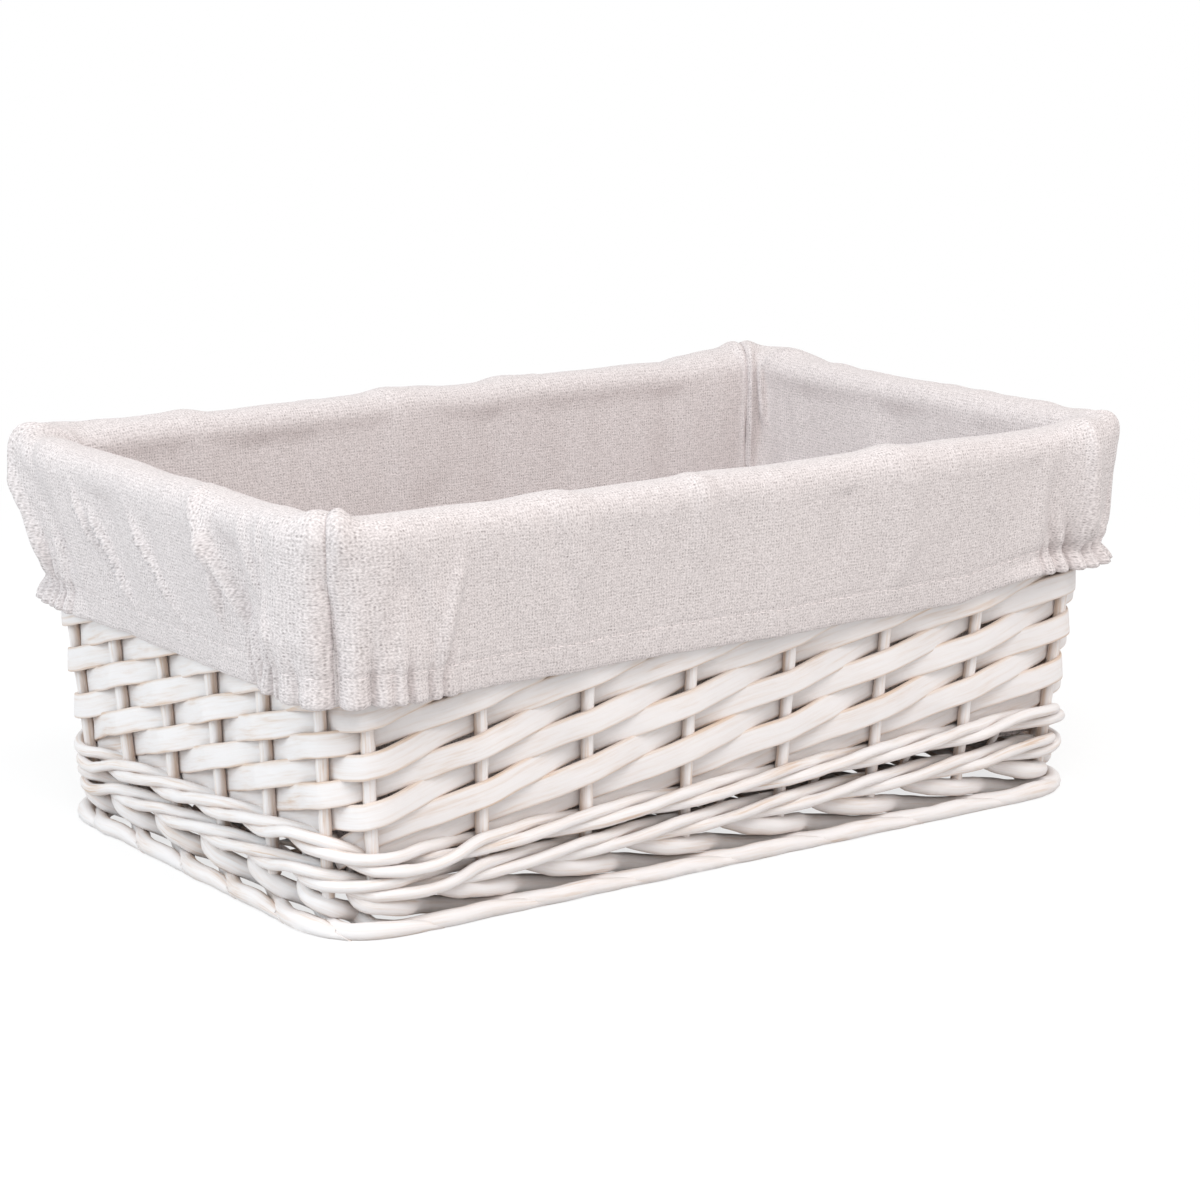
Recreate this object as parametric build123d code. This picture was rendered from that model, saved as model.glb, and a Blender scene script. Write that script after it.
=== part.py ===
from build123d import *
import math
import os

# Lined wicker laundry basket, in millimetres: +Z is up and the origin lies on the floor below its middle.
# The long sides face -Y and +Y. Turns round the wall are counted in stakes, from the middle of the front left
# corner to the right as seen from outside: stakes stand at the half turns and foot rods at the whole ones.
# "Out" is measured from the line of the stake centres. A piece is a row of stops, each with its turn, its place
# out, its level and its size there.

# Wall
floor_length = 361.0
floor_width = 213.6
corner_radius = 22.0
wall_lean_degrees = 4.5
long_side_stakes = 8
short_side_stakes = 6
corner_inset = 9.0
clearance = 0.3

# Stakes, whose upper ends are woven down into the rim border (tail as a share of a gap)
stake_diameter = 4.6
border_room = 0.8
border_tail = 0.3

# French randing: every strip goes behind one stake, before the next, and climbs one row at each. The rows
# climb a little along each side and fall back round the corner. A strip is flat at each stake, starts a share
# of a gap before its first one and ends past its last one
strip_width = 9.1
strip_thickness = 2.0
row_gap = 0.7
weave_rows = 11
row_slip = 7.2
strip_flat = 2.5
strip_start = 0.42
strip_tail = 8.0

# Three-rod wale below the weave, in two rounds, of which the first climbs less than the rows
# (start, runs and step up counted in stakes)
wale_strands = 3
wale_diameter = 4.2
wale_spread = 0.6
wale_room = 0.6
wale_climb = 0.5
wale_start = 15
wale_runs = (27, 21)
wale_step_up = 4
wale_join = 1.5

# Foot border, of rods whose pointed ends are pushed up behind the wale (point as a share of the rod,
# tail as a share of a gap)
foot_diameter = 6.0
foot_out = -1.0
foot_gap = 1.5
post_rise = 16.0
post_point = 0.5
foot_tail = 0.5

# Woven base
base_stick_diameter = 6.0
base_strip_gap = 1.4
base_room = 0.8

# Cloth liner with a cuff over the rim
cloth = 1.2
liner_room = 0.8
cuff_drop = 64.0
lift_room = 0.5
crest_chamfer = 5.0
seam_gap = 0.3
fold_depth = 3.5
fold_pitch = 12.0
folds_beside_corner = 3
elastic_width = 6.0
elastic_thickness = 0.8
elastic_inset = 3.0

# Facets (spacing as a share of a gap, limit in cubic millimetres)
rod_sides = 6
corner_spacing = 0.1
flat_limit = 1e-6

# Worked out sizes round the wall
lean = math.tan(math.radians(wall_lean_degrees))
side_stakes = (long_side_stakes, short_side_stakes, long_side_stakes, short_side_stakes)
corner_turns = [sum(side_stakes[:side]) for side in range(len(side_stakes))]
stake_count = sum(side_stakes)
corner_arc = corner_radius * math.pi / 4
stake_radius = stake_diameter / 2
weave_out = stake_radius + clearance + strip_thickness / 2

# Levels from the floor up
foot_radius = foot_diameter / 2
foot_tail_level = foot_radius * math.cos(math.pi / rod_sides)
foot_bend_level = foot_tail_level + foot_diameter + border_room
wale_radius = wale_diameter / 2
wale_out = stake_radius + wale_room + wale_radius
wale_lift = wale_spread * (wale_diameter + clearance)
wale_pitch = 2 * wale_lift + wale_diameter + clearance
wale_bottom = foot_bend_level + foot_radius + foot_gap
wale_level = wale_bottom + wale_radius + wale_lift
weave_bottom = wale_level + wale_pitch + wale_lift + wale_radius + clearance
row_pitch = strip_width + row_gap
weave_top = weave_bottom + weave_rows * row_pitch + row_slip
rim_bend_level = weave_top + stake_radius + stake_diameter + border_room
rim_top = rim_bend_level + stake_radius
post_radius = foot_radius * post_point

# How far the wicker reaches in and out of the stake line
rim_reach = stake_diameter + border_room + stake_radius
inner_reach = max(wale_out + wale_radius, rim_reach)
base_half_thickness = base_stick_diameter / 2 + clearance + strip_thickness
base_level = wale_bottom + base_half_thickness
base_grow = lean * base_level - wale_out - wale_radius - base_room
base_half_length = floor_length / 2 + base_grow
base_half_width = floor_width / 2 + base_grow

# Liner levels and places
liner_out = inner_reach + liner_room
liner_floor = base_level + base_half_thickness + clearance
liner_wall_foot = liner_floor + cloth + clearance
crest_inside = rim_top + clearance
hem_level = crest_inside + cloth - cuff_drop
cuff_grow = lean * rim_bend_level
cuff_out = rim_reach + lift_room
fold_floor = elastic_thickness + 2 * clearance


def side_of(turn):
    """Side of the basket that holds this turn, and how many turns lie before it on that side."""
    rest = turn % stake_count
    for side, stakes in enumerate(side_stakes):
        if rest < stakes:
            return side, rest
        rest -= stakes


def straight_length(side, grow):
    length = floor_width if side % 2 else floor_length
    return length + 2 * grow - 2 * corner_radius


def side_length(side, grow):
    """Length along the stake line from the middle of one corner to the middle of the next."""
    return straight_length(side, grow) + 2 * corner_arc


def stake_spread(side, grow):
    """Distance between neighbouring stakes of a side."""
    return (side_length(side, grow) - 2 * corner_inset) / (side_stakes[side] - 1)


def along_side(turn, grow):
    """Side that holds a turn, and the distance there from the middle of the side's first corner."""
    side, turns = side_of(turn)
    last_stake = side_stakes[side] - 0.5
    in_corners = min(turns, 0.5) + max(turns - last_stake, 0)
    between = min(max(turns, 0.5), last_stake) - 0.5
    return side, 2 * corner_inset * in_corners + stake_spread(side, grow) * between


def turn_at(side, distance, grow):
    """Turn at a distance along a side."""
    last_stake = side_length(side, grow) - corner_inset
    in_corners = min(distance, corner_inset) + max(distance - last_stake, 0)
    between = min(max(distance, corner_inset), last_stake) - corner_inset
    return corner_turns[side] + in_corners / (2 * corner_inset) + between / stake_spread(side, grow)


def turn_ahead(turn, distance, grow):
    """Turn a short way further along the same side."""
    side, along = along_side(turn, grow)
    return turn - turn % stake_count + turn_at(side, along + distance, grow)


def turn_by_corner(corner, distance, grow):
    """Turn at a distance past the middle of a corner, or before it where the distance is negative."""
    if distance < 0:
        return turn_at(corner - 1, side_length(corner - 1, grow) + distance, grow)
    return turn_at(corner, distance, grow)


def ring(turn, grow):
    """Point of the stake line at a turn, with its heading in radians, on a line let out by grow."""
    side, along = along_side(turn, grow)
    straight = straight_length(side, grow)
    bend = min(along - corner_arc, 0) + max(along - corner_arc - straight, 0)
    run = min(max(along - corner_arc, 0), straight)
    side_heading = side * math.pi / 2
    heading = side_heading + bend / corner_radius
    half_x = floor_length / 2 + grow - corner_radius
    half_y = floor_width / 2 + grow - corner_radius
    corner_x = (-half_x, half_x, half_x, -half_x)[side]
    corner_y = (-half_y, -half_y, half_y, half_y)[side]
    x = corner_x + run * math.cos(side_heading) + corner_radius * math.sin(heading)
    y = corner_y + run * math.sin(side_heading) - corner_radius * math.cos(heading)
    return x, y, heading


def wall_point(turn, out, level, grow):
    """Point out from the stake line, on a line let out by grow."""
    x, y, heading = ring(turn, grow)
    return Vector(x + out * math.sin(heading), y - out * math.cos(heading), level)


def outward(turn):
    heading = ring(turn, 0)[2]
    return Vector(math.sin(heading), -math.cos(heading), 0)


def forward(turn):
    heading = ring(turn, 0)[2]
    return Vector(math.cos(heading), math.sin(heading), 0)


def follow_corners(route):
    """Route with more stops wherever it goes round a corner of the basket."""
    stops = [route[0]]
    for stop in route[1:]:
        start = stops[-1]
        for turn in corner_stops(start, stop):
            if turn - stops[-1][0] > corner_spacing and stop[0] - turn > corner_spacing:
                share = (turn - start[0]) / (stop[0] - start[0])
                stops.append(tuple(a + share * (b - a) for a, b in zip(start, stop)))
        stops.append(stop)
    return stops


def corner_stops(start, stop):
    """Turns at the ends, the quarters and the middle of each corner that lies near two stops."""
    grow = lean * (start[2] + stop[2]) / 2
    last_lap = int(stop[0] // stake_count) + 1
    turns = []
    for lap in range(int(start[0] // stake_count), last_lap + 1):
        for corner, middle in enumerate(corner_turns):
            for share in (-1, -0.5, 0, 0.5, 1):
                past = turn_by_corner(corner, share * corner_arc, grow) - middle
                past -= stake_count * round(past / stake_count)
                turns.append(lap * stake_count + middle + past)
    return turns


def skin(outlines):
    """Closed solid with flat facets between neighbouring outlines of as many points."""
    faces = [Face(Wire.make_polygon(outlines[0][::-1])), Face(Wire.make_polygon(outlines[-1]))]
    for here, there in zip(outlines, outlines[1:]):
        for index, corner in enumerate(here):
            last, across, after = here[index - 1], there[index], there[index - 1]
            twist = (corner - last).cross(after - last).dot(across - last)
            if abs(twist) < flat_limit:
                faces.append(Face(Wire.make_polygon([last, corner, across, after])))
            else:
                faces.append(Face(Wire.make_polygon([last, corner, across])))
                faces.append(Face(Wire.make_polygon([last, across, after])))
    return Solid(Shell(faces))


def polygon(centre, across, up, diameter):
    """Points of a rod's cut end."""
    angles = [2 * math.pi * side / rod_sides for side in range(rod_sides)]
    radius = diameter / 2
    return [centre + across * radius * math.cos(a) + up * radius * math.sin(a) for a in angles]


def rectangle(centre, across, up, thickness, width):
    """Points of a strip's cut end."""
    corners = ((-0.5, -0.5), (0.5, -0.5), (0.5, 0.5), (-0.5, 0.5))
    return [centre + across * thickness * a + up * width * b for a, b in corners]


def rod(route):
    """Willow rod through its stops, mitred at each bend."""
    stops = follow_corners(route)
    points = [wall_point(turn, out, level, lean * level) for turn, out, level, _ in stops]
    outlines = []
    for index, (turn, _, _, diameter) in enumerate(stops):
        before = points[max(index - 1, 0)]
        after = points[min(index + 1, len(points) - 1)]
        across = outward(turn)
        up = (after - before).cross(across).normalized()
        outlines.append(polygon(points[index], across, up, diameter))
    return skin(outlines)


def border_rod(turn, start, bend, diameter, point, tail):
    """Rod of a trac border: it bends to the right, goes behind one upright and ends before the next."""
    start_out, start_level = start
    bend_out, bend_level = bend
    step = diameter + border_room
    rise = math.copysign(diameter, bend_level - start_level)
    bend_end = turn_ahead(turn, diameter, lean * bend_level) - turn
    bend_middle = 1 - math.sqrt(0.5)
    middle_out = (start_out + bend_out) / 2
    crossing = 1 / (3 - 2 * bend_end)
    first_out = bend_out - step * (crossing - bend_end) / (1 - bend_end)
    tail_level = bend_level - step
    behind_level = bend_level - step * (1 - crossing)
    return rod([
        (turn, start_out, start_level, point * diameter),
        (turn, start_out, bend_level - rise, point * diameter),
        (turn + bend_middle * bend_end, middle_out, bend_level - bend_middle * rise, diameter),
        (turn + bend_end, bend_out, bend_level, diameter),
        (turn + crossing, first_out, bend_level, diameter),
        (turn + 1, bend_out - step, behind_level, diameter),
        (turn + 1 + crossing, bend_out + step * (2 * crossing - 1), tail_level, diameter),
        (turn + 2, bend_out + step, tail_level, diameter),
        (turn + 2 + tail, bend_out + step, tail_level, diameter),
    ])


def stake(number):
    """Stake from the foot of the wale to the rim, where its end is woven down into the border."""
    return border_rod(number + 0.5, (0, wale_bottom), (0, rim_bend_level), stake_diameter, 1, border_tail)


def foot_rod(number):
    """Foot rod, pointed behind the slanting wale between two stakes, and bent into the foot border."""
    side, along = along_side(number, lean * wale_level)
    half_gap = stake_spread(side, lean * wale_level) / 2 if along else corner_inset
    slant = wale_out / half_gap
    room = post_radius * (1 + slant) + clearance + wale_radius * math.hypot(1, slant)
    start = (-room, wale_bottom + post_rise)
    return border_rod(number, start, (foot_out, foot_bend_level), foot_diameter, post_point, foot_tail)


def climb(turn):
    """How far the rows have climbed along their side, or are still to fall round its corners."""
    side, turns = side_of(turn)
    last_stake = side_stakes[side] - 0.5
    if turns < 0.5:
        return row_slip * (0.5 - turns)
    if turns > last_stake:
        return row_slip * (1 - turns + last_stake)
    return row_slip * (turns - 0.5) / (last_stake - 0.5)


def weaver(first):
    """Flat willow strip of the wall, from its start behind one stake to its end below the rim."""
    last = weave_rows - 1
    levels = [weave_bottom + (row + 0.5) * row_pitch + climb(first + row + 0.5) for row in range(weave_rows)]
    route = []
    for row, level in enumerate(levels):
        turn = first + row + 0.5
        side = weave_out if row % 2 else -weave_out
        before = turn_ahead(turn, -strip_flat, lean * level) if row else turn - strip_start
        after = turn_ahead(turn, strip_flat if row < last else strip_tail, lean * level)
        fall = (turn - before) * (level - levels[row - 1]) if row else climb(turn) - climb(before)
        rise = (after - turn) * (levels[min(row + 1, last)] - level)
        route.append((before, side, level - fall, strip_width))
        route.append((after, side, level + rise, strip_width))
    up = Vector(0, 0, 1)
    outlines = []
    for turn, out, level, width in follow_corners(route):
        lean_up = (up + outward(turn) * lean).normalized()
        across = lean_up.cross(forward(turn))
        point = wall_point(turn, out, level, lean * level)
        outlines.append(rectangle(point, across, lean_up, strip_thickness, width))
    return skin(outlines)


def wale_rod(strand, run):
    """Rod of the wale: behind one stake, then before two, climbing to the second round at its end."""
    pattern = ((0, -1, 0), (0.5, 0, -1), (1, 1, -1), (2, 1, 1), (2.5, 0, 1))
    first = strand + sum(wale_runs[:run])
    last = first + wale_runs[run]
    strokes = []
    for start in range(first, last, wale_strands):
        strokes += [(start + step, out, lift) for step, out, lift in pattern]
    route = []
    for steps, out, lift in strokes + [(last, -1, 0)]:
        round_share = min(max(1 + (steps - stake_count) / wale_step_up, 0), 1)
        place = wale_start + steps + 0.5
        rise = climb(place) * (wale_climb + (1 - wale_climb) * round_share)
        level = wale_level + lift * wale_lift + round_share * wale_pitch + rise
        trim = wale_join / 2 * ((steps == first) - (steps == last))
        turn = turn_ahead(place, trim, lean * level)
        route.append((turn, out * wale_out, level, wale_diameter))
    return rod(route)


def base_stick_places():
    """Places across the basket of the sticks: each runs from one end stake to the one that faces it."""
    numbers = range(1, short_side_stakes - 1)
    return [ring(corner_turns[1] + number + 0.5, lean * base_level)[1] for number in numbers]


def base_sticks():
    """Sticks along the base."""
    across, up = Vector(0, 1, 0), Vector(0, 0, 1)
    sticks = []
    for y in base_stick_places():
        ends = [Vector(x, y, base_level) for x in (-base_half_length, base_half_length)]
        sticks.append(skin([polygon(end, across, up, base_stick_diameter) for end in ends]))
    return sticks


def base_strip(index, x):
    """Strip across the base, over and under the sticks in turn, cut to the rounded corners."""
    corner = corner_radius + base_half_length - floor_length / 2 - lean * base_level
    past = max(abs(x) + strip_width / 2 - (base_half_length - corner), 0)
    end = base_half_width - corner + math.sqrt(corner ** 2 - past ** 2)
    places = [-end] + base_stick_places() + [end]
    lift = base_half_thickness - strip_thickness / 2
    sides = [0] + [(-1) ** (index + number) for number in range(len(places) - 2)] + [0]
    up, across = Vector(0, 0, 1), Vector(1, 0, 0)
    outlines = []
    for y, side in zip(places, sides):
        centre = Vector(x, y, base_level + side * lift)
        outlines.append(rectangle(centre, up, across, strip_thickness, strip_width))
    return skin(outlines)


def base_strips():
    """All strips of the base, spread evenly along it."""
    count = int(2 * base_half_length / (strip_width + base_strip_gap))
    spread = 2 * base_half_length / count
    return [base_strip(index, (index + 0.5) * spread - base_half_length) for index in range(count)]


def fold_stops(side):
    """Distances from a side's start of the cuff's folds, with how far the cuff stands off there."""
    half_pitch = fold_pitch / 2
    stops = [(0, fold_floor)]
    for number in range(1, 2 * folds_beside_corner + 1):
        depth = fold_depth if number % 2 else 0
        stops.append((number * half_pitch, fold_floor + depth))
    stops.append(((2 * folds_beside_corner + 1) * half_pitch, 0))
    length = side_length(side, cuff_grow)
    return stops + [(length - distance, depth) for distance, depth in reversed(stops)]


def liner_outline(turn, shift, depth):
    """Outline of the cloth at one turn: up the inside, over the rim and down to the hem."""
    cuff_middle = (crest_inside + hem_level) / 2
    shoulder = crest_inside - crest_chamfer
    wall_route = (
        (-liner_out, liner_wall_foot, lean * liner_wall_foot, 0),
        (-liner_out, shoulder, lean * shoulder, 0),
        (crest_chamfer - liner_out, crest_inside, cuff_grow, 0),
        (cuff_out - crest_chamfer, crest_inside, cuff_grow, 0),
        (cuff_out, shoulder, cuff_grow, 0),
        (cuff_out, cuff_middle, cuff_grow, 0.5),
        (cuff_out, hem_level, cuff_grow, 1),
    )
    skin_sides = ((-1, 0), (-1, 0), (-0.5, 1), (0.5, 1), (1, 0), (1, 0), (1, 0))
    wicker_side = []
    open_side = []
    for (out, level, grow, share), (skin_out, skin_up) in zip(wall_route, skin_sides):
        fold = out + share * depth
        wicker_side.append(wall_point(turn, fold, level, grow) + shift)
        open_side.append(wall_point(turn, fold + skin_out * cloth, level + skin_up * cloth, grow) + shift)
    return wicker_side + open_side[::-1]


def liner_panel(side):
    """Side panel of the liner with its part of the cuff, gathered beside the corner seams."""
    stops = fold_stops(side)
    outlines = []
    for number, (distance, depth) in enumerate(stops):
        turn = turn_at(side, distance, cuff_grow)
        shift = forward(turn) * seam_gap / 2 * ((number == 0) - (number == len(stops) - 1))
        outlines.append(liner_outline(turn, shift, depth))
    return skin(outlines)


def liner_bottom():
    """Bottom panel of the liner, lying on the base."""
    grow = 2 * (lean * liner_floor - liner_out)
    outline = RectangleRounded(floor_length + grow, floor_width + grow, corner_radius - liner_out)
    return Pos(0, 0, liner_floor) * extrude(outline, cloth)


def hem_elastic(corner):
    """Elastic band inside the hem, round one corner, that draws the folds in."""
    reach = folds_beside_corner * fold_pitch
    level = hem_level + elastic_inset + elastic_width / 2
    up = Vector(0, 0, 1)
    outlines = []
    for distance in (-reach, -corner_arc, -corner_arc / 2, 0, corner_arc / 2, corner_arc, reach):
        turn = turn_by_corner(corner, distance, cuff_grow)
        point = wall_point(turn, cuff_out + elastic_thickness / 2, level, cuff_grow)
        outlines.append(rectangle(point, outward(turn), up, elastic_thickness, elastic_width))
    return skin(outlines)


side_names = ("front", "right", "back", "left")
nodes = {}
for number in range(stake_count):
    nodes[f"weaver_{number + 1:02d}"] = [weaver(number)]
nodes["corner_stakes"] = [stake(corner + beside) for corner in corner_turns for beside in (0, -1)]
for name, first, stakes in zip(side_names, corner_turns, side_stakes):
    nodes[f"{name}_stakes"] = [stake(number) for number in range(first + 1, first + stakes - 1)]
    nodes[f"{name}_foot_rods"] = [foot_rod(number) for number in range(first, first + stakes)]
for run, label in enumerate(("lower", "upper")):
    for strand in range(wale_strands):
        nodes[f"{label}_wale_rod_{strand + 1}"] = [wale_rod(strand, run)]
nodes["base_sticks"] = base_sticks()
nodes["base_strips"] = base_strips()
nodes["liner_bottom"] = [liner_bottom()]
for side, name in enumerate(side_names):
    nodes[f"liner_{name}"] = [liner_panel(side)]
nodes["hem_elastics"] = [hem_elastic(corner) for corner in range(len(side_stakes))]

os.makedirs("parts", exist_ok=True)
for name, solids in nodes.items():
    export_step(Compound(solids), f"parts/{name}.step")
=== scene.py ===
"""Looks of a lined wicker basket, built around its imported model, in metres."""

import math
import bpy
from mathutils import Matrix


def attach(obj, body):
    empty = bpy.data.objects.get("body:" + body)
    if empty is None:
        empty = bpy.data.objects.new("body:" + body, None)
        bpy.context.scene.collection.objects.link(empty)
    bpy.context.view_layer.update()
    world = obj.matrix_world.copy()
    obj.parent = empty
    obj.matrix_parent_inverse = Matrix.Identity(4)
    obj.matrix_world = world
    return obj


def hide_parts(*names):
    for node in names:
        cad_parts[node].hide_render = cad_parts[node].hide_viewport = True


bl_info = {
    "name": "Lined Wicker Basket",
    "version": (1, 0, 0),
    "blender": (4, 5, 0),
    "location": "3D View > Sidebar > Basket",
    "description": "Builds a whitewashed willow basket and its gathered cloth liner",
    "category": "Object",
}

import bpy
import numpy as np
from bpy.props import FloatProperty, FloatVectorProperty, IntProperty, PointerProperty
from mathutils import Vector

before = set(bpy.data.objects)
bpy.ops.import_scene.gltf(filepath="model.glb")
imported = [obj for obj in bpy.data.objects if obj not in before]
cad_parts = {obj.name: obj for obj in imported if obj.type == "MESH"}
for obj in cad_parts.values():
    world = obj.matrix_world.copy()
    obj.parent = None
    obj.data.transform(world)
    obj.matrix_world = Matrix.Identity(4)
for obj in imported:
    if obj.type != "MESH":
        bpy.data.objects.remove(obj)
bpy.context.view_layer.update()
SIDES = ("front", "right", "back", "left")
BASKET, LINER = "basket", "liner"


# Settings

def length(name, text, default):
    """Setting in metres."""
    return FloatProperty(name=name, description=text, default=default, unit="LENGTH", precision=5)


def share(name, text, default):
    """Setting without a unit."""
    return FloatProperty(name=name, description=text, default=default, precision=3)


def count(name, text, default):
    return IntProperty(name=name, description=text, default=default, min=1)


def angle(name, text, degrees):
    return FloatProperty(name=name, description=text, default=math.radians(degrees), subtype="ANGLE")


def colour(name, text, default):
    """Setting for a colour, in linear red, green and blue."""
    return FloatVectorProperty(name=name, description=text, default=default, size=3, min=0, max=1,
                               subtype="COLOR")


class BasketWickerSettings(bpy.types.PropertyGroup):
    """Sizes of the willow."""

    floor_length: length("Floor length", "Stake line along the basket, at the floor", 0.361)
    floor_width: length("Floor width", "Stake line across the basket, at the floor", 0.2136)
    corner_radius: length("Corner radius", "Radius of the stake line at the corners", 0.022)
    wall_lean: angle("Wall lean", "How far the walls lean out", 4.5)
    long_stakes: count("Long side stakes", "Stakes on a long side", 8)
    short_stakes: count("Short side stakes", "Stakes on a short side", 6)
    corner_inset: length("Corner inset", "From the middle of a corner to the stakes beside it", 0.009)
    clearance: length("Clearance", "Room between crossing pieces", 0.0003)
    stake_diameter: length("Stake diameter", "Thickness of the upright rods", 0.0046)
    border_room: length("Border room", "Room between the rods of a border", 0.0008)
    border_tail: share("Border tail", "Last part of a border rod, in gaps", 0.3)
    strip_width: length("Strip width", "Width of the split willow strips", 0.0091)
    strip_thickness: length("Strip thickness", "Thickness of the split willow strips", 0.002)
    row_gap: length("Row gap", "Room between the rows of the weave", 0.0007)
    weave_rows: count("Weave rows", "Rows that each strip climbs", 11)
    row_slip: length("Row slip", "How far the rows climb along each side", 0.0072)
    strip_start: share("Strip start", "How far a strip begins before its first stake, in gaps", 0.95)
    strip_flat: length("Strip flat", "Flat of a strip on each side of a stake", 0.002)
    weave_draw: share("Weave draw", "How far the strips keep off the stakes, drawn tight", 0.97)
    strip_tail: length("Strip tail", "End of a strip past its last stake", 0.008)
    wale_strands: count("Wale strands", "Rods that are twined together in the wale", 3)
    wale_diameter: length("Wale diameter", "Thickness of the wale rods", 0.0042)
    wale_spread: share("Wale spread", "How far a wale rod rises and falls, in rods", 0.6)
    wale_room: length("Wale room", "Room between the wale and the stakes", 0.0006)
    wale_climb: share("Wale climb", "Share of the rows' climb that the first round takes", 0.5)
    wale_start: count("Wale start", "Stake at which the wale begins", 15)
    wale_first_run: count("First wale run", "Stakes that a rod of the first round passes", 27)
    wale_second_run: count("Second wale run", "Stakes that a rod of the second round passes", 21)
    wale_step_up: count("Wale step up", "Stakes over which the wale climbs to its second round", 4)
    wale_join: length("Wale join", "Room between the ends of two wale rods", 0.0015)
    foot_diameter: length("Foot diameter", "Thickness of the foot border's rods", 0.006)
    foot_out: length("Foot out", "How far the foot posts stand out of the stake line", -0.001)
    foot_gap: length("Foot gap", "Room between the foot border and the wale", 0.0015)
    foot_tail: share("Foot tail", "Last part of a foot rod, in gaps", 0.5)
    foot_tip: share("Foot tip", "Slanted tip of a foot rod, in gaps", 0.44)
    foot_forward: length("Foot forward", "How far the foot rods come forward at their bends", 0.0026)
    post_rise: length("Post rise", "How far a foot rod is pushed up behind the wale", 0.016)
    post_point: share("Post point", "Thickness of a foot rod's pointed end, in rods", 0.5)
    stick_diameter: length("Base stick diameter", "Thickness of the base sticks", 0.006)
    base_gap: length("Base gap", "Room between the strips of the base", 0.0014)
    base_room: length("Base room", "Room between the base and the wall", 0.0008)
    wander: length("Wander", "How far the willow wanders off its line", 0.0005)


class BasketClothSettings(bpy.types.PropertyGroup):
    """Sizes of the liner."""

    thickness: length("Cloth thickness", "Thickness of the cloth", 0.0009)
    wall_gap: length("Wall gap", "From the stake line to the cloth inside", 0.0091)
    bottom_level: length("Bottom level", "Level of the liner's bottom", 0.0254)
    wall_foot: length("Wall foot", "Level at which the liner's sides begin", 0.0263)
    crest_level: length("Crest level", "Highest line of the cuff", 0.1612)
    corner_rise: length("Corner rise", "How far the cuff rises at the corners", 0.0012)
    corner_bulge: length("Corner bulge", "How far the cuff stands out at the corners", 0.003)
    crest_height: length("Crest height", "Height of the roll over the rim", 0.0105)
    crest_out: length("Crest out", "How far the roll stands out of the stake line", 0.0106)
    hem_level: length("Hem level", "Level of the cuff's lower edge", 0.0964)
    hem_out: length("Hem out", "How far the hem stands out of the stake line", 0.0078)
    casing: length("Casing", "Height of the turned hem that holds the elastic", 0.0105)
    gather_reach: length("Gather reach", "How far the elastic reaches from each corner", 0.042)
    gather_depth: length("Gather depth", "Depth of the gathers at the hem", 0.0058)
    ruffle: length("Ruffle", "How far the gathers stand out of the hem", 0.0034)
    pinch: length("Pinch", "How far the elastic draws the corners in", 0.0018)
    seam_depth: length("Seam depth", "Depth of the corner seams", 0.0026)
    elastic_width: length("Elastic width", "Width of the elastic band", 0.006)
    elastic_thickness: length("Elastic thickness", "Thickness of the elastic band", 0.0007)
    thread_pitch: length("Thread pitch", "From one thread of the cloth to the next", 0.00125)
    stitch_length: length("Stitch length", "Length of a hem stitch", 0.0026)
    stitch_gap: length("Stitch gap", "Room between two hem stitches", 0.0012)


class BasketFinishSettings(bpy.types.PropertyGroup):
    """Colours of the finishes."""

    whitewash: colour("Whitewash", "Paint on the willow", (0.79, 0.755, 0.75))
    willow: colour("Willow", "Bare willow that shows through the paint", (0.62, 0.46, 0.35))
    cloth_light: colour("Light threads", "Raised threads of the cloth", (0.81, 0.745, 0.737))
    cloth_dark: colour("Dark threads", "Holes between the threads of the cloth", (0.25, 0.215, 0.211))
    thread: colour("Sewing thread", "Thread of the hem stitches", (0.66, 0.60, 0.59))
    elastic: colour("Elastic", "Elastic band in the hem", (0.78, 0.76, 0.72))
    floor: colour("Floor", "Studio floor as the camera sees it", (0.97, 0.97, 0.97))
    bounce: colour("Floor bounce", "Studio floor as it lights the basket", (0.6, 0.6, 0.6))


class BasketStageSettings(bpy.types.PropertyGroup):
    """Camera and light."""

    azimuth: angle("Azimuth", "Camera's place round the basket", -35.53)
    elevation: angle("Elevation", "Camera's height over the floor", 12.74)
    distance: length("Distance", "From the camera to its target", 1.434)
    lens: share("Lens", "Focal length in millimetres", 101.75)
    target: FloatVectorProperty(name="Target", description="Point in the middle of the picture",
                                default=(0.0081, -0.0058, 0.0872), size=3, subtype="TRANSLATION")
    sky: share("Sky", "Strength of the light from all round", 0.84)
    key: share("Key light", "Power of the soft light over the front", 16.5)
    fill: share("Fill light", "Power of the soft light beside the camera", 2.5)
    side: share("Side light", "Power of the cool soft light on the left", 12.5)
    floor_glow: share("Floor glow", "Share of white that the camera sees in the floor", 0.78)


def wicker():
    return bpy.context.scene.basket_wicker


def cloth():
    return bpy.context.scene.basket_cloth


def finish():
    return bpy.context.scene.basket_finish


# The wall's line. Turns count its stakes from the front left corner to the right, and stakes stand at the
# half turns

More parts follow.
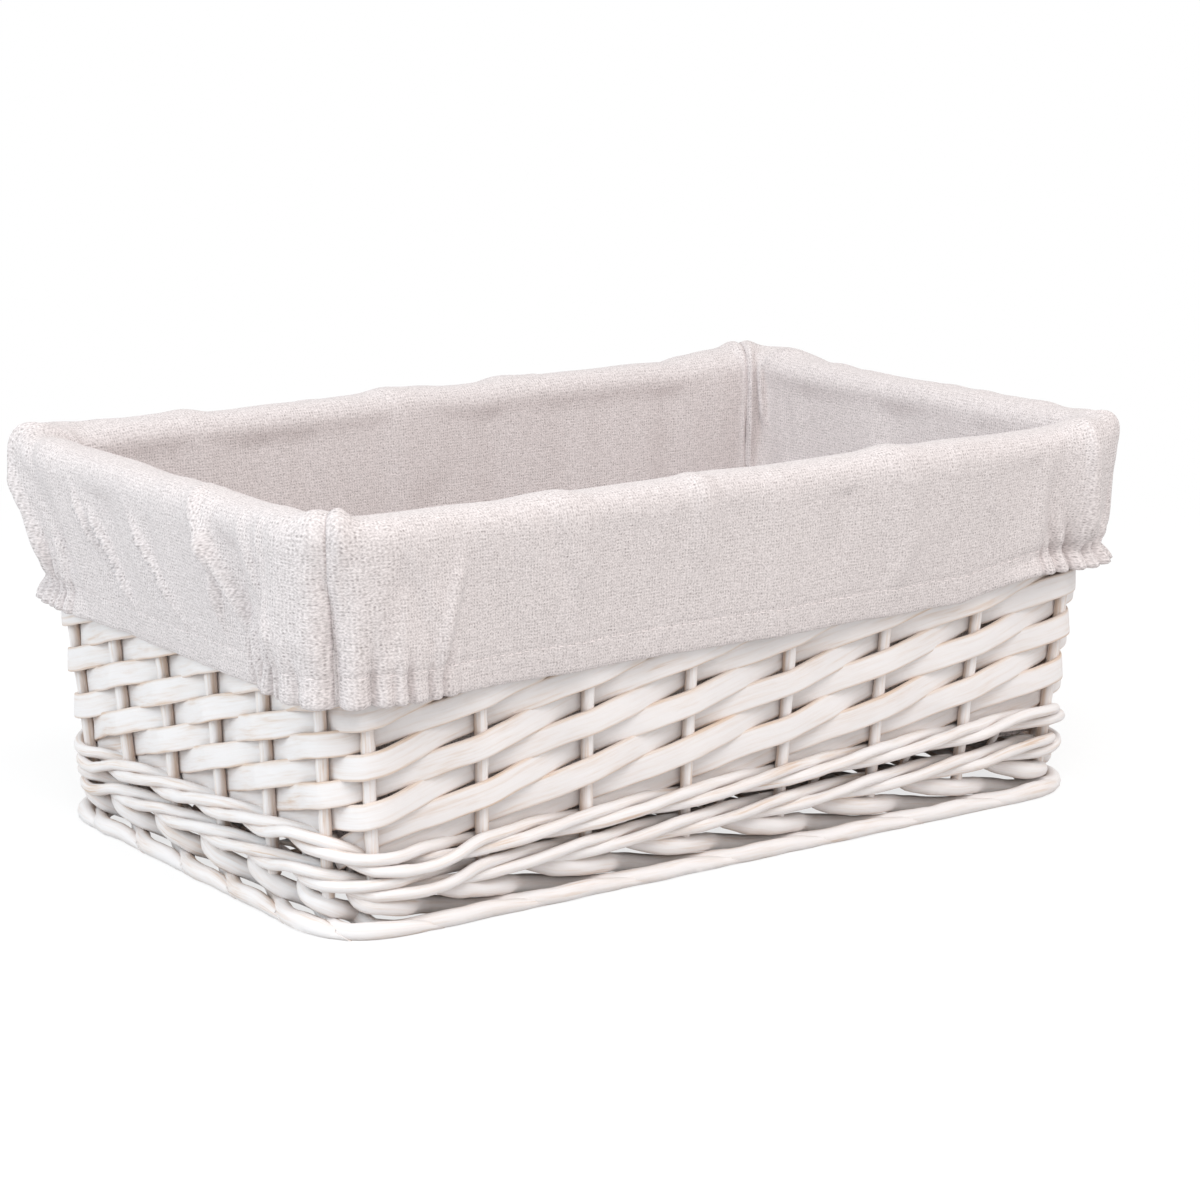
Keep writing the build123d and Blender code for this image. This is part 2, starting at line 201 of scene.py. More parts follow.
class Wall:
    """The stake line and the levels of the willow."""

    def __init__(self, sizes):
        self.half_length = sizes.floor_length / 2
        self.half_width = sizes.floor_width / 2
        self.radius = sizes.corner_radius
        self.lean = math.tan(sizes.wall_lean)
        self.side_stakes = np.array((sizes.long_stakes, sizes.short_stakes) * 2)
        self.corners = np.concatenate(([0], np.cumsum(self.side_stakes)[:-1]))
        self.stakes = int(self.side_stakes.sum())
        self.inset = sizes.corner_inset
        self.row_slip = sizes.row_slip
        self.arc = self.radius * math.pi / 4
        self.measure(sizes)

    def measure(self, sizes):
        """Levels from the floor up, and the reach of the willow."""
        hexagon = math.cos(math.pi / 6)
        stake_radius = sizes.stake_diameter / 2
        wale_rod = sizes.wale_diameter + sizes.clearance
        foot_bend = sizes.foot_diameter / 2 * (hexagon + 2) + sizes.border_room
        self.foot_bend = foot_bend
        self.wale_out = stake_radius + sizes.wale_room + sizes.wale_diameter / 2
        self.wale_lift = sizes.wale_spread * wale_rod
        self.wale_pitch = 2 * self.wale_lift + wale_rod
        self.wale_bottom = foot_bend + sizes.foot_diameter / 2 + sizes.foot_gap
        self.wale_level = self.wale_bottom + sizes.wale_diameter / 2 + self.wale_lift
        self.weave_bottom = (self.wale_level + self.wale_pitch + self.wale_lift + wale_rod
                             - sizes.wale_diameter / 2)
        self.row_pitch = sizes.strip_width + sizes.row_gap
        self.weave_top = self.weave_bottom + sizes.weave_rows * self.row_pitch + sizes.row_slip
        self.weave_out = stake_radius + sizes.clearance + sizes.strip_thickness / 2
        self.rim_bend = self.weave_top + stake_radius + sizes.stake_diameter + sizes.border_room
        self.base_half = sizes.stick_diameter / 2 + sizes.clearance + sizes.strip_thickness
        self.base_level = self.wale_bottom + self.base_half
        self.base_grow = (self.lean * self.base_level - self.wale_out - sizes.wale_diameter / 2
                          - sizes.base_room)

    def straight(self, side, grow):
        half = np.where(np.asarray(side) % 2, self.half_width, self.half_length)
        return 2 * (half + grow - self.radius)

    def side_length(self, side, grow):
        """Length of the stake line from the middle of one corner to the middle of the next."""
        return self.straight(side, grow) + 2 * self.arc

    def side_of(self, turns):
        return np.searchsorted(self.corners, np.asarray(turns) % self.stakes, side="right") - 1

    def spread(self, side, grow):
        """Distance between neighbouring stakes of a side."""
        return (self.side_length(side, grow) - 2 * self.inset) / (self.side_stakes[side] - 1)

    def along_side(self, turns, grow):
        """Sides that hold the turns, and the distances there from the middle of the side's first corner."""
        side = self.side_of(turns)
        on_side = np.asarray(turns) % self.stakes - self.corners[side]
        last = self.side_stakes[side] - 0.5
        in_corners = np.minimum(on_side, 0.5) + np.maximum(on_side - last, 0)
        between = np.clip(on_side, 0.5, last) - 0.5
        return side, 2 * self.inset * in_corners + self.spread(side, grow) * between

    def turn_at(self, side, distance, grow):
        """Turns at distances along a side."""
        last = self.side_length(side, grow) - self.inset
        in_corners = np.minimum(distance, self.inset) + np.maximum(distance - last, 0)
        between = np.clip(distance, self.inset, last) - self.inset
        return self.corners[side] + in_corners / (2 * self.inset) + between / self.spread(side, grow)

    def turn_ahead(self, turn, distance, grow):
        """Turn a short way further along the same side."""
        side, along = self.along_side(turn, grow)
        return turn - turn % self.stakes + float(self.turn_at(side, along + distance, grow))

    def climb(self, turn):
        """How far the rows have climbed along their side, or are still to fall round its corners."""
        side = self.side_of(turn)
        on_side, last = turn % self.stakes - self.corners[side], self.side_stakes[side] - 0.5
        if on_side < 0.5:
            return self.row_slip * (0.5 - on_side)
        if on_side > last:
            return self.row_slip * (1 - on_side + last)
        return self.row_slip * (on_side - 0.5) / (last - 0.5)

    def ring(self, turns, grow):
        """Places of the stake line, and the headings there, on a line let out by grow."""
        turns, grow = np.broadcast_arrays(np.asarray(turns, float), np.asarray(grow, float))
        side, along = self.along_side(turns, grow)
        straight = self.straight(side, grow)
        bend = np.minimum(along - self.arc, 0) + np.maximum(along - self.arc - straight, 0)
        run = np.clip(along - self.arc, 0, straight)
        side_heading = side * math.pi / 2
        heading = side_heading + bend / self.radius
        corner_x = (self.half_length + grow - self.radius) * np.array((-1, 1, 1, -1))[side]
        corner_y = (self.half_width + grow - self.radius) * np.array((-1, -1, 1, 1))[side]
        x = corner_x + run * np.cos(side_heading) + self.radius * np.sin(heading)
        y = corner_y + run * np.sin(side_heading) - self.radius * np.cos(heading)
        return x, y, heading

    def outward(self, turns):
        heading = self.ring(turns, 0)[2]
        return np.stack((np.sin(heading), -np.cos(heading), np.zeros_like(heading)), axis=-1)

    def points(self, turns, out, level):
        """Points out from the leaning wall."""
        x, y, heading = self.ring(turns, self.lean * level)
        return np.stack((x + out * np.sin(heading), y - out * np.cos(heading), level + 0 * x), axis=-1)


# Runs of willow

def unit(vectors):
    return vectors / np.linalg.norm(vectors, axis=-1, keepdims=True)


# A ripple is mixed from waves: their lengths as shares of the first, how these vary, and their weights
RIPPLE_LENGTHS = np.array((1, 0.53, 0.29))
RIPPLE_VARIES = (0.7, 1.3)
RIPPLE_WEIGHTS = (0.5, 0.33, 0.17)


def ripple(draw, distance, wave):
    """Smooth irregular wave between about -1 and 1 along a distance."""
    number = len(RIPPLE_LENGTHS)
    phases = draw.uniform(0, 2 * math.pi, number)
    lengths = wave * (draw.uniform(*RIPPLE_VARIES, number) * RIPPLE_LENGTHS)
    return sum(weight * np.sin(2 * math.pi * distance / size + phase)
               for weight, size, phase in zip(RIPPLE_WEIGHTS, lengths, phases))


def run_lengths(points):
    """Distance along a run at each of its points."""
    steps = np.linalg.norm(np.diff(points, axis=0), axis=1)
    return np.concatenate(([0], np.cumsum(steps)))


def flow(wall, stops, spacing):
    """Smooth run of turn, out, level and size through the stops, about a spacing apart."""
    stops = np.array(stops, float)
    reach = np.diff(run_lengths(wall.points(*stops[:, :3].T)))
    slopes = np.diff(stops, axis=0) / reach[:, None]
    before, after = reach[:-1, None], reach[1:, None]
    inner = (slopes[:-1] * after + slopes[1:] * before) / (after + before)
    tangents = np.concatenate((slopes[:1], inner, slopes[-1:]))
    places = [stops[:1]]
    for index, step in enumerate(reach):
        t = np.linspace(0, 1, max(int(math.ceil(step / spacing)), 2) + 1)[1:, None]
        start, end = stops[index], stops[index + 1]
        first, last = step * tangents[index], step * tangents[index + 1]
        places.append(start * (1 + 2 * t) * (1 - t) ** 2 + end * t ** 2 * (3 - 2 * t)
                      + first * t * (1 - t) ** 2 - last * t ** 2 * (1 - t))
    return np.concatenate(places)


class Skin:
    """Faces of one piece, with a place along and across the grain and a tint for each."""

    def __init__(self):
        self.points = []
        self.faces = []
        self.grain = []
        self.tints = []
        self.edges = []
        self.total = 0

    def add_points(self, points, tint, edge=0.0):
        points = np.asarray(points).reshape(-1, 3)
        first = self.total
        self.points.append(points)
        self.tints.append(np.full(len(points), tint))
        self.edges.append(np.resize(edge, len(points)))
        self.total += len(points)
        return first

    def tube(self, rings, along, around, tint, edge=0.0):
        """Closed run through rings of points, with a flat cut at each end, and bare where edge is 1, which is
        partly painted shade.
        """
        rows, sides = rings.shape[:2]
        first = self.add_points(rings, tint, edge)
        for row in range(rows - 1):
            for side in range(sides):
                after = (side + 1) % sides
                a, b = first + row * sides + side, first + row * sides + after
                self.faces.append((a, b, b + sides, a + sides))
                low, high = along[row], along[row + 1]
                self.grain.append(((low, around[side]), (low, around[side + 1]),
                                   (high, around[side + 1]), (high, around[side])))
        for row, order in ((0, -1), (rows - 1, 1)):
            middle = self.add_points(rings[row].mean(axis=0), tint, 1.0)
            at = along[row]
            for side in range(sides):
                a, b = (side, (side + 1) % sides)[::order]
                self.faces.append((first + row * sides + a, first + row * sides + b, middle))
                self.grain.append(((at, around[a]), (at, around[b]), (at, 0)))

    def sheet(self, grid, along, across, tint):
        """Open sheet through a grid of points."""
        columns, rows = grid.shape[:2]
        first = self.add_points(grid, tint)
        for column in range(columns - 1):
            for row in range(rows - 1):
                a = first + column * rows + row
                corners = ((column, row), (column + 1, row), (column + 1, row + 1), (column, row + 1))
                self.faces.append((a, a + rows, a + rows + 1, a + 1))
                self.grain.append(tuple((along[place], across[place]) for place in corners))

    def make(self, name, material, crease):
        """Object of the faces, with its grain as a UV map and its tint as an attribute."""
        mesh = bpy.data.meshes.new(name)
        mesh.from_pydata(np.concatenate(self.points).tolist(), [], self.faces)
        grain = mesh.uv_layers.new(name="grain")
        flat = [value for face in self.grain for place in face for value in place]
        grain.data.foreach_set("uv", np.array(flat))
        # The edge attribute marks bare willow, which is partly painted shade.
        for label, values in (("tint", self.tints), ("edge", self.edges)):
            mesh.attributes.new(label, "FLOAT", "POINT").data.foreach_set("value", np.concatenate(values))
        mesh.polygons.foreach_set("use_smooth", np.ones(len(mesh.polygons), bool))
        mesh.set_sharp_from_angle(angle=crease)
        mesh.materials.append(material)
        piece = bpy.data.objects.new(name, mesh)
        bpy.context.scene.collection.objects.link(piece)
        return piece


ROD_SIDES = 12
ROD_SPACING = 0.0028
STRIP_SPACING = 0.0016
CREASE = math.radians(50)
PHASES = 6
GRAIN_STARTS = 5
PLAIN_TINT = 0.5

# First seeds of the random draws
WEAVER_SEED = 100
STAKE_SEED = 201
FOOT_SEED = 300
WALE_SEED = 400
WALE_ROUND_SEEDS = 10
STICK_SEED = 500
BASE_STRIP_SEED = 600
GATHER_SEED = 700
CUFF_SEED = 800
INNER_SEED = 850
DRAPE_SEED = 900
CREST_SEED = 950
SEAM_SEED = 960
BOTTOM_SEED = 970
STITCH_SEED = 980

# Unevenness of a rod: its wander to the side and up, its thickness, its buds and its oval section
ROD_FADE = 0.02
ROD_SIDE_WAVE = 0.05
ROD_UP_WAVE = 0.045
ROD_UNEVEN = 0.05
ROD_UNEVEN_WAVE = 0.03
BUD_SPACING = 0.09
BUD_SWELL = 0.09
BUD_LENGTH = 0.0025
ROD_OVAL = 0.04

# Bare wood round a rod, which is partly painted shade: its level and slope at the back, along the top and, on
# the stakes, on the flanks
SHADED_BARE_BACK = (0.2, 1.2)
SHADED_BARE_TOP = (0.35, 1.1)
SHADED_BARE_FLANKS = (1.15, 1.45)

# Unevenness of a strip: its twist, width and thickness, and its rounded edges and crown
STRIP_TWIST = math.radians(4)
STRIP_TWIST_WAVE = 0.07
STRIP_WIDTHS = (0.97, 1.03)
STRIP_UNEVEN = 0.025
STRIP_UNEVEN_WAVE = 0.06
STRIP_DEPTHS = (0.85, 1.0)
STRIP_BEVEL = 0.00045
STRIP_CORNERS = ((1, 1), (-1, 1), (-1, -1), (1, -1))
STRIP_CROWN = ((-0.7, 0.0001), (0, 0.00014), (0.7, 0.0001))


def bare_wood_and_shade(angles, flanks):
    """Share of bare wood round a rod, partly painted shade, whose angles start at its outer side and go up.
    """
    facing, above = np.cos(angles), np.sin(angles)
    if flanks:
        return np.clip(SHADED_BARE_FLANKS[0] - SHADED_BARE_FLANKS[1] * facing, 0, 1)
    back = np.clip(SHADED_BARE_BACK[0] - SHADED_BARE_BACK[1] * facing, 0, 1)
    return np.minimum(back + np.clip(SHADED_BARE_TOP[1] * above - SHADED_BARE_TOP[0], 0, 1), 1)


def add_rod(skin, points, across, diameters, draw, sway=1.0, slant=0.0, flanks=False):
    """Round willow rod along points: it wanders, swells at its buds and may be cut at a slant."""
    along = run_lengths(points)
    ahead = unit(np.gradient(points, axis=0))
    up = unit(np.cross(ahead, across))
    side = unit(np.cross(up, ahead))
    wander = sway * wicker().wander
    fade = np.minimum(1, np.minimum(along, along[-1] - along) / ROD_FADE)
    points = points + side * (wander * fade * ripple(draw, along, ROD_SIDE_WAVE))[:, None]
    points = points + up * (wander * fade * ripple(draw, along, ROD_UP_WAVE))[:, None]
    radii = diameters / 2 * (1 + ROD_UNEVEN * ripple(draw, along, ROD_UNEVEN_WAVE))
    for bud in draw.uniform(0, along[-1], max(int(along[-1] / BUD_SPACING), 1)):
        radii = radii * (1 + BUD_SWELL * np.exp(-((along - bud) / BUD_LENGTH) ** 2))
    angles = np.linspace(0, 2 * math.pi, ROD_SIDES, endpoint=False)
    oval = 1 + ROD_OVAL * np.sin(2 * angles + draw.uniform(0, PHASES))
    rings = points[:, None] + radii[:, None, None] * (
        side[:, None] * (oval * np.cos(angles))[:, None] + up[:, None] * (oval * np.sin(angles))[:, None])
    rings[-1] += ahead[-1] * (slant * radii[-1] * np.sin(angles))[:, None]
    rings[..., 2] = np.maximum(rings[..., 2], 0)
    around = np.append(angles, 2 * math.pi) * radii.mean()
    # The bare tan round the rod is partly unpainted wood and partly painted shade.
    skin.tube(rings, along + draw.uniform(0, GRAIN_STARTS), around, draw.uniform(), bare_wood_and_shade(angles, flanks))


def add_wall_rod(skin, wall, stops, draw, sway=1.0, slant=0.0, flanks=False):
    """Rod of the wall through its stops."""
    places = flow(wall, stops, ROD_SPACING)
    turns, out, level, diameters = places.T
    add_rod(skin, wall.points(turns, out, level), wall.outward(turns), diameters, draw, sway, slant, flanks)


def add_strip(skin, points, face, width, thickness, draw):
    """Split willow strip along points: flat, with a faint crown and bare edges and back, which are partly
    painted shade.
    """
    along = run_lengths(points)
    ahead = unit(np.gradient(points, axis=0))
    up = unit(np.cross(ahead, face))
    out = unit(np.cross(up, ahead))
    tilt = STRIP_TWIST * ripple(draw, along, STRIP_TWIST_WAVE)
    widths = width * draw.uniform(*STRIP_WIDTHS) * (1 + STRIP_UNEVEN * ripple(draw, along, STRIP_UNEVEN_WAVE))
    depth, bevel = thickness * draw.uniform(*STRIP_DEPTHS), STRIP_BEVEL
    outline = []
    for start, (deep, wide) in enumerate(STRIP_CORNERS):
        for bend in (start + np.linspace(0, 1, 3)) * math.pi / 2:
            outline.append((deep * (depth / 2 - bevel) + bevel * math.cos(bend), wide,
                            bevel * (math.sin(bend) - wide)))
    outline += [(depth / 2 + crown, wide, 0) for wide, crown in STRIP_CROWN]
    deep, wide, shift = np.array(outline).T
    # Sides and back are marked bare: partly unpainted wood, partly painted shade in the gaps of the weave.
    edge = (np.abs(wide) == 1).astype(float)
    across = widths[:, None] / 2 * wide + shift
    turned_out = deep * np.cos(tilt)[:, None] - across * np.sin(tilt)[:, None]
    turned_up = deep * np.sin(tilt)[:, None] + across * np.cos(tilt)[:, None]
    rings = points[:, None] + out[:, None] * turned_out[..., None] + up[:, None] * turned_up[..., None]
    around = run_lengths(np.stack((np.append(deep, deep[0]), np.append(across[0], across[0, 0])), axis=-1))
    skin.tube(rings, along + draw.uniform(0, GRAIN_STARTS), around, draw.uniform(), edge)


def place(piece, body, slot, *nodes):
    """Lets the piece stand for CAD nodes and ride on a body; the slot is not used."""
    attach(piece, body)
    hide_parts(*nodes)


def border_stops(wall, turn, start, bend, diameter, point, tail):
    """Stops of a border rod: it bends to the right, goes behind one upright and ends before the next."""
    sizes = wicker()
    start_out, start_level = start
    bend_out, bend_level = bend
    step = diameter + sizes.border_room
    rise = math.copysign(diameter, bend_level - start_level)
    bend_end = wall.turn_ahead(turn, diameter, wall.lean * bend_level) - turn
    bend_middle = 1 - math.sqrt(0.5)
    middle_out = (start_out + bend_out) / 2
    crossing = 1 / (3 - 2 * bend_end)
    first_out = bend_out - step * (crossing - bend_end) / (1 - bend_end)
    tail_level = bend_level - step
    behind_level = bend_level - step * (1 - crossing)
    return [
        (turn, start_out, start_level, point * diameter),
        (turn, start_out, bend_level - rise, point * diameter),
        (turn + bend_middle * bend_end, middle_out, bend_level - bend_middle * rise, diameter),
        (turn + bend_end, bend_out, bend_level, diameter),
        (turn + crossing, first_out, bend_level, diameter),
        (turn + 1, bend_out - step, behind_level, diameter),
        (turn + 1 + crossing, bend_out + step * (2 * crossing - 1), tail_level, diameter),
        (turn + 2, bend_out + step, tail_level, diameter),
        (turn + 2 + tail, bend_out + step, tail_level, diameter),
    ]


# How strips are drawn: wider than their solids, eased out and up over some points, and waving
STRIP_EASE = 0.0012
EASE_OUT = 2
EASE_UP = 5
STRIP_OUT_WAVE = 0.08
STRIP_UP_WAVE = 0.09
STRIP_OUT_WANDER = 0.5


class BASKET_OT_weavers(bpy.types.Operator):
    """Weave the wall of split willow strips"""

    bl_idname = "basket.weavers"
    bl_label = "Weavers"

    def execute(self, context):
        sizes, wall = wicker(), Wall(wicker())
        material = willow_material("strip")
        for first in range(wall.stakes):
            draw = np.random.default_rng(WEAVER_SEED + first)
            turns, out, level = self.line(wall, first, draw)
            skin = Skin()
            points, faces = wall.points(turns, out, level), wall.outward(turns)
            add_strip(skin, points, faces, sizes.strip_width + STRIP_EASE, sizes.strip_thickness, draw)
            node = f"weaver_{first + 1:02d}"
            place(skin.make(f"{node}_willow", material, CREASE), BASKET, "willow_strip", node)
        return {"FINISHED"}

    def line(self, wall, first, draw):
        """Turns, places out and levels of a strip: behind one stake and before the next, close to each."""
        sizes = wicker()
        last = sizes.weave_rows - 1
        levels = [wall.weave_bottom + (row + 0.5) * wall.row_pitch + wall.climb(first + row + 0.5)
                  for row in range(sizes.weave_rows)]
        stops = []
        for row, level in enumerate(levels):
            turn, grow = first + row + 0.5, wall.lean * level
            out = sizes.weave_draw * wall.weave_out * (1 if row % 2 else -1)
            before = wall.turn_ahead(turn, -sizes.strip_flat, grow) if row else turn - sizes.strip_start
            after = wall.turn_ahead(turn, sizes.strip_flat if row < last else sizes.strip_tail, grow)
            below = levels[row - 1] if row else level - wall.row_pitch
            fall = (turn - before) * (level - below)
            rise = (after - turn) * (levels[min(row + 1, last)] - level)
            stops += [(before, out, level - fall), (after, out, level + rise)]
        stops = np.array(stops)
        along = run_lengths(wall.points(*stops.T))
        at = np.linspace(0, along[-1], int(along[-1] / STRIP_SPACING))
        turns, out, level = (np.interp(at, along, values) for values in stops.T)
        out = soften(out, EASE_OUT) + STRIP_OUT_WANDER * sizes.wander * ripple(draw, at, STRIP_OUT_WAVE)
        return turns, out, soften(level, EASE_UP) + sizes.wander * ripple(draw, at, STRIP_UP_WAVE)


def soften(values, reach):
    """Values averaged over their neighbours, as many on each side as the reach."""
    weights = np.hanning(2 * reach + 3)[1:-1]
    padded = np.pad(values, reach, mode="reflect", reflect_type="odd")
    return np.convolve(padded, weights / weights.sum(), mode="valid")


# How stakes are drawn: thickness of the straight part in rods, its stops, and the sway and slanted end
STAKE_SWELL = 1.1
STAKE_STOPS = 13
STAKE_SWAY = 0.4
STAKE_SLANT = 0.8


class BASKET_OT_stakes(bpy.types.Operator):
    """Set the stakes and weave their ends into the rim border"""

    bl_idname = "basket.stakes"
    bl_label = "Stakes"

    def execute(self, context):
        sizes, wall = wicker(), Wall(wicker())
        material = willow_material("stake")
        groups = {"corner_stakes": [corner + beside for corner in wall.corners for beside in (0, -1)]}
        for name, first, stakes in zip(SIDES, wall.corners, wall.side_stakes):
            groups[f"{name}_stakes"] = range(first + 1, first + stakes - 1)
        for node, numbers in groups.items():
            skin = Skin()
            for number in numbers:
                draw = np.random.default_rng(STAKE_SEED + number)
                start, bend = (0, wall.wale_bottom), (0, wall.rim_bend)
                diameter, tail = sizes.stake_diameter, sizes.border_tail
                stops = np.array(border_stops(wall, number + 0.5, start, bend, diameter, STAKE_SWELL, tail))
                straight = np.linspace(stops[0], stops[1], STAKE_STOPS)
                add_wall_rod(skin, wall, [*straight, *stops[2:]], draw, STAKE_SWAY, STAKE_SLANT, flanks=True)
            place(skin.make(f"{node}_willow", material, CREASE), BASKET, "willow_rod", node)
        return {"FINISHED"}


# Places of the out and the size in a stop
OUT_COLUMN = 1
SIZE_COLUMN = 3

# How the stops from the post of a foot rod to past its bend are eased into a slant: turn, out, level and size
FOOT_SLANT = np.array((
    (-0.10, 0, 0.0020, 0.001),
    (0.10, 0, 0.0026, 0),
    (0.28, 0, 0.0018, 0),
    (0.30, 0, 0.0002, 0),
))
SLANTED = slice(1, 5)

# How foot rods are drawn: stops of the bend, of the part behind the next rod and of all past the post, their
# thickness in rods, and the sway and the slanted tip
BENT = slice(2, 5)
BEHIND = slice(2, 6)
PAST_POST = slice(2, None)
PAST_POST_SWELL = 1.2
BEHIND_SWELL = 1.08
FOOT_SWAY = 0.5
TIP_OUT = 0.0018
TIP_TAPER = 0.55
TIP_CLEARANCE = 0.0002
TIP_SLANT = 2.4


class BASKET_OT_foot_border(bpy.types.Operator):
    """Bend the foot rods into the foot border"""

    bl_idname = "basket.foot_border"
    bl_label = "Foot border"

    def execute(self, context):
        sizes, wall = wicker(), Wall(wicker())
        material = willow_material("foot")
        grow = wall.lean * wall.wale_level
        for side, (name, first, stakes) in enumerate(zip(SIDES, wall.corners, wall.side_stakes)):
            skin = Skin()
            for number in range(first, first + stakes):
                draw = np.random.default_rng(FOOT_SEED + number)
                slant = wall.wale_out / (wall.spread(side, grow) / 2 if number > first else wall.inset)
                start = (-self.room(slant), wall.wale_bottom + sizes.post_rise)
                bend = (sizes.foot_out, wall.foot_bend)
                diameter, tail = sizes.foot_diameter, sizes.foot_tail
                stops = np.array(border_stops(wall, number, start, bend, diameter, sizes.post_point, tail))
                stops[PAST_POST, SIZE_COLUMN] *= PAST_POST_SWELL
                stops[BEHIND, SIZE_COLUMN] *= BEHIND_SWELL
                stops[BENT, OUT_COLUMN] += sizes.foot_forward
                stops[SLANTED] += FOOT_SLANT
                turn, out, _, size = stops[-1]
                size = size - TIP_TAPER * size
                tip = (turn + sizes.foot_tip, out + TIP_OUT, size / 2 + TIP_CLEARANCE, size)
                add_wall_rod(skin, wall, [*stops, tip], draw, FOOT_SWAY, TIP_SLANT)
            node = f"{name}_foot_rods"
            place(skin.make(f"{node}_willow", material, CREASE), BASKET, "willow_rod", node)
        return {"FINISHED"}

    def room(self, slant):
        """How far behind the stake line a foot rod's point passes the slanting wale."""
        sizes = wicker()
        point = sizes.foot_diameter / 2 * sizes.post_point
        return point * (1 + slant) + sizes.clearance + sizes.wale_diameter / 2 * math.hypot(1, slant)


# Stroke of a wale rod over three stakes: stakes, out and lift
WALE_STROKE = ((0, -1, 0), (0.5, 0, -1), (1, 1, -1), (2, 1, 1), (2.5, 0, 1))

# How wale rods are drawn: closer to the stakes and to each other than their solids, thicker, and swaying
WALE_TIGHT = 0.88
WALE_FLAT = 0.82
WALE_SWELL = 1.14
WALE_SWAY = 0.4


class BASKET_OT_wale(bpy.types.Operator):
    """Twine the wale below the weave"""

    bl_idname = "basket.wale"
    bl_label = "Wale"

    def execute(self, context):
        sizes, wall = wicker(), Wall(wicker())
        material = willow_material("wale")
        runs = (sizes.wale_first_run, sizes.wale_second_run)
        for run, label in enumerate(("lower", "upper")):
            for strand in range(sizes.wale_strands):
                draw = np.random.default_rng(WALE_SEED + WALE_ROUND_SEEDS * run + strand)
                skin = Skin()
                stops = self.stops(wall, strand + sum(runs[:run]), runs[run])
                add_wall_rod(skin, wall, stops, draw, WALE_SWAY)
                node = f"{label}_wale_rod_{strand + 1}"
                place(skin.make(f"{node}_willow", material, CREASE), BASKET, "willow_rod", node)
        return {"FINISHED"}

    def stops(self, wall, first, run):
        """Stops of a wale rod: behind one stake, then before two, climbing to the second round."""
        sizes = wicker()
        last = first + run
        strokes = []
        for start in range(first, last, sizes.wale_strands):
            strokes += [(start + step, out, lift) for step, out, lift in WALE_STROKE]
        stops = []
        for steps, out, lift in strokes + [(last, -1, 0)]:
            place = sizes.wale_start + steps + 0.5
            second = min(max(1 + (steps - wall.stakes) / sizes.wale_step_up, 0), 1)
            rise = wall.climb(place) * (sizes.wale_climb + (1 - sizes.wale_climb) * second)
            level = wall.wale_level + WALE_FLAT * lift * wall.wale_lift + second * wall.wale_pitch + rise
            trim = sizes.wale_join / 2 * ((steps == first) - (steps == last))
            turn = wall.turn_ahead(place, trim, wall.lean * level)
            stops.append((turn, WALE_TIGHT * out * wall.wale_out, level, WALE_SWELL * sizes.wale_diameter))
        return stops


STICK_POINTS = 60
BASE_STRIP_POINTS = 70
BASE_STRIP_WIDTH = 0.97


class BASKET_OT_base(bpy.types.Operator):
    """Weave the base"""

    bl_idname = "basket.base"
    bl_label = "Base"

    def execute(self, context):
        sizes, wall = wicker(), Wall(wicker())
        half_length, half_width = wall.half_length + wall.base_grow, wall.half_width + wall.base_grow
        ends = wall.corners[1] + np.arange(1, sizes.short_stakes - 1) + 0.5
        stick_places = wall.ring(ends, wall.lean * wall.base_level)[1]
        self.sticks(wall, half_length, stick_places)
        self.strips(wall, half_length, half_width, stick_places)
        return {"FINISHED"}

    def sticks(self, wall, half_length, stick_places):
        material = willow_material("base_stick")
        skin = Skin()
        x = np.linspace(-half_length, half_length, STICK_POINTS)
        across = np.tile((0.0, 1.0, 0.0), (len(x), 1))
        for number, y in enumerate(stick_places):
            draw = np.random.default_rng(STICK_SEED + number)
            points = np.stack((x, np.full_like(x, y), np.full_like(x, wall.base_level)), axis=-1)
            add_rod(skin, points, across, np.full_like(x, wicker().stick_diameter), draw)
        place(skin.make("base_sticks_willow", material, CREASE), BASKET, "willow_rod", "base_sticks")

    def strips(self, wall, half_length, half_width, stick_places):
        sizes = wicker()
        material = willow_material("base_strip")
        skin = Skin()
        number = int(2 * half_length / (sizes.strip_width + sizes.base_gap))
        spread = 2 * half_length / number
        corner = sizes.corner_radius + wall.base_grow - wall.lean * wall.base_level
        lift = wall.base_half - sizes.strip_thickness / 2
        for index in range(number):
            draw = np.random.default_rng(BASE_STRIP_SEED + index)
            x = (index + 0.5) * spread - half_length
            past = max(abs(x) + sizes.strip_width / 2 - (half_length - corner), 0)
            end = half_width - corner + math.sqrt(corner ** 2 - past ** 2)
            places = np.concatenate(([-end], stick_places, [end]))
            rise = np.concatenate(([0], lift * (-1.0) ** (index + np.arange(len(stick_places))), [0]))
            y = np.linspace(-end, end, BASE_STRIP_POINTS)
            level = wall.base_level + wave_through(places, rise, y)
            points = np.stack((np.full_like(y, x), y, level), axis=-1)
            up = np.tile((0.0, 0.0, 1.0), (len(y), 1))
            add_strip(skin, points, up, sizes.strip_width * BASE_STRIP_WIDTH, sizes.strip_thickness, draw)
        place(skin.make("base_strips_willow", material, CREASE), BASKET, "willow_strip", "base_strips")


def wave_through(places, heights, at):
    """Smooth wave that is level at each place where its height is given."""
    index = np.clip(np.searchsorted(places, at, side="right") - 1, 0, len(places) - 2)
    t = (at - places[index]) / (places[index + 1] - places[index])
    return heights[index] + (heights[index + 1] - heights[index]) * t * t * (3 - 2 * t)


# The liner: its cloth runs from the foot of the inner wall over the rim and down to the hem. Along is the way
# round it from the front left corner to the right, and corners are counted the same way. Rise is the way up
# the cloth from the hem

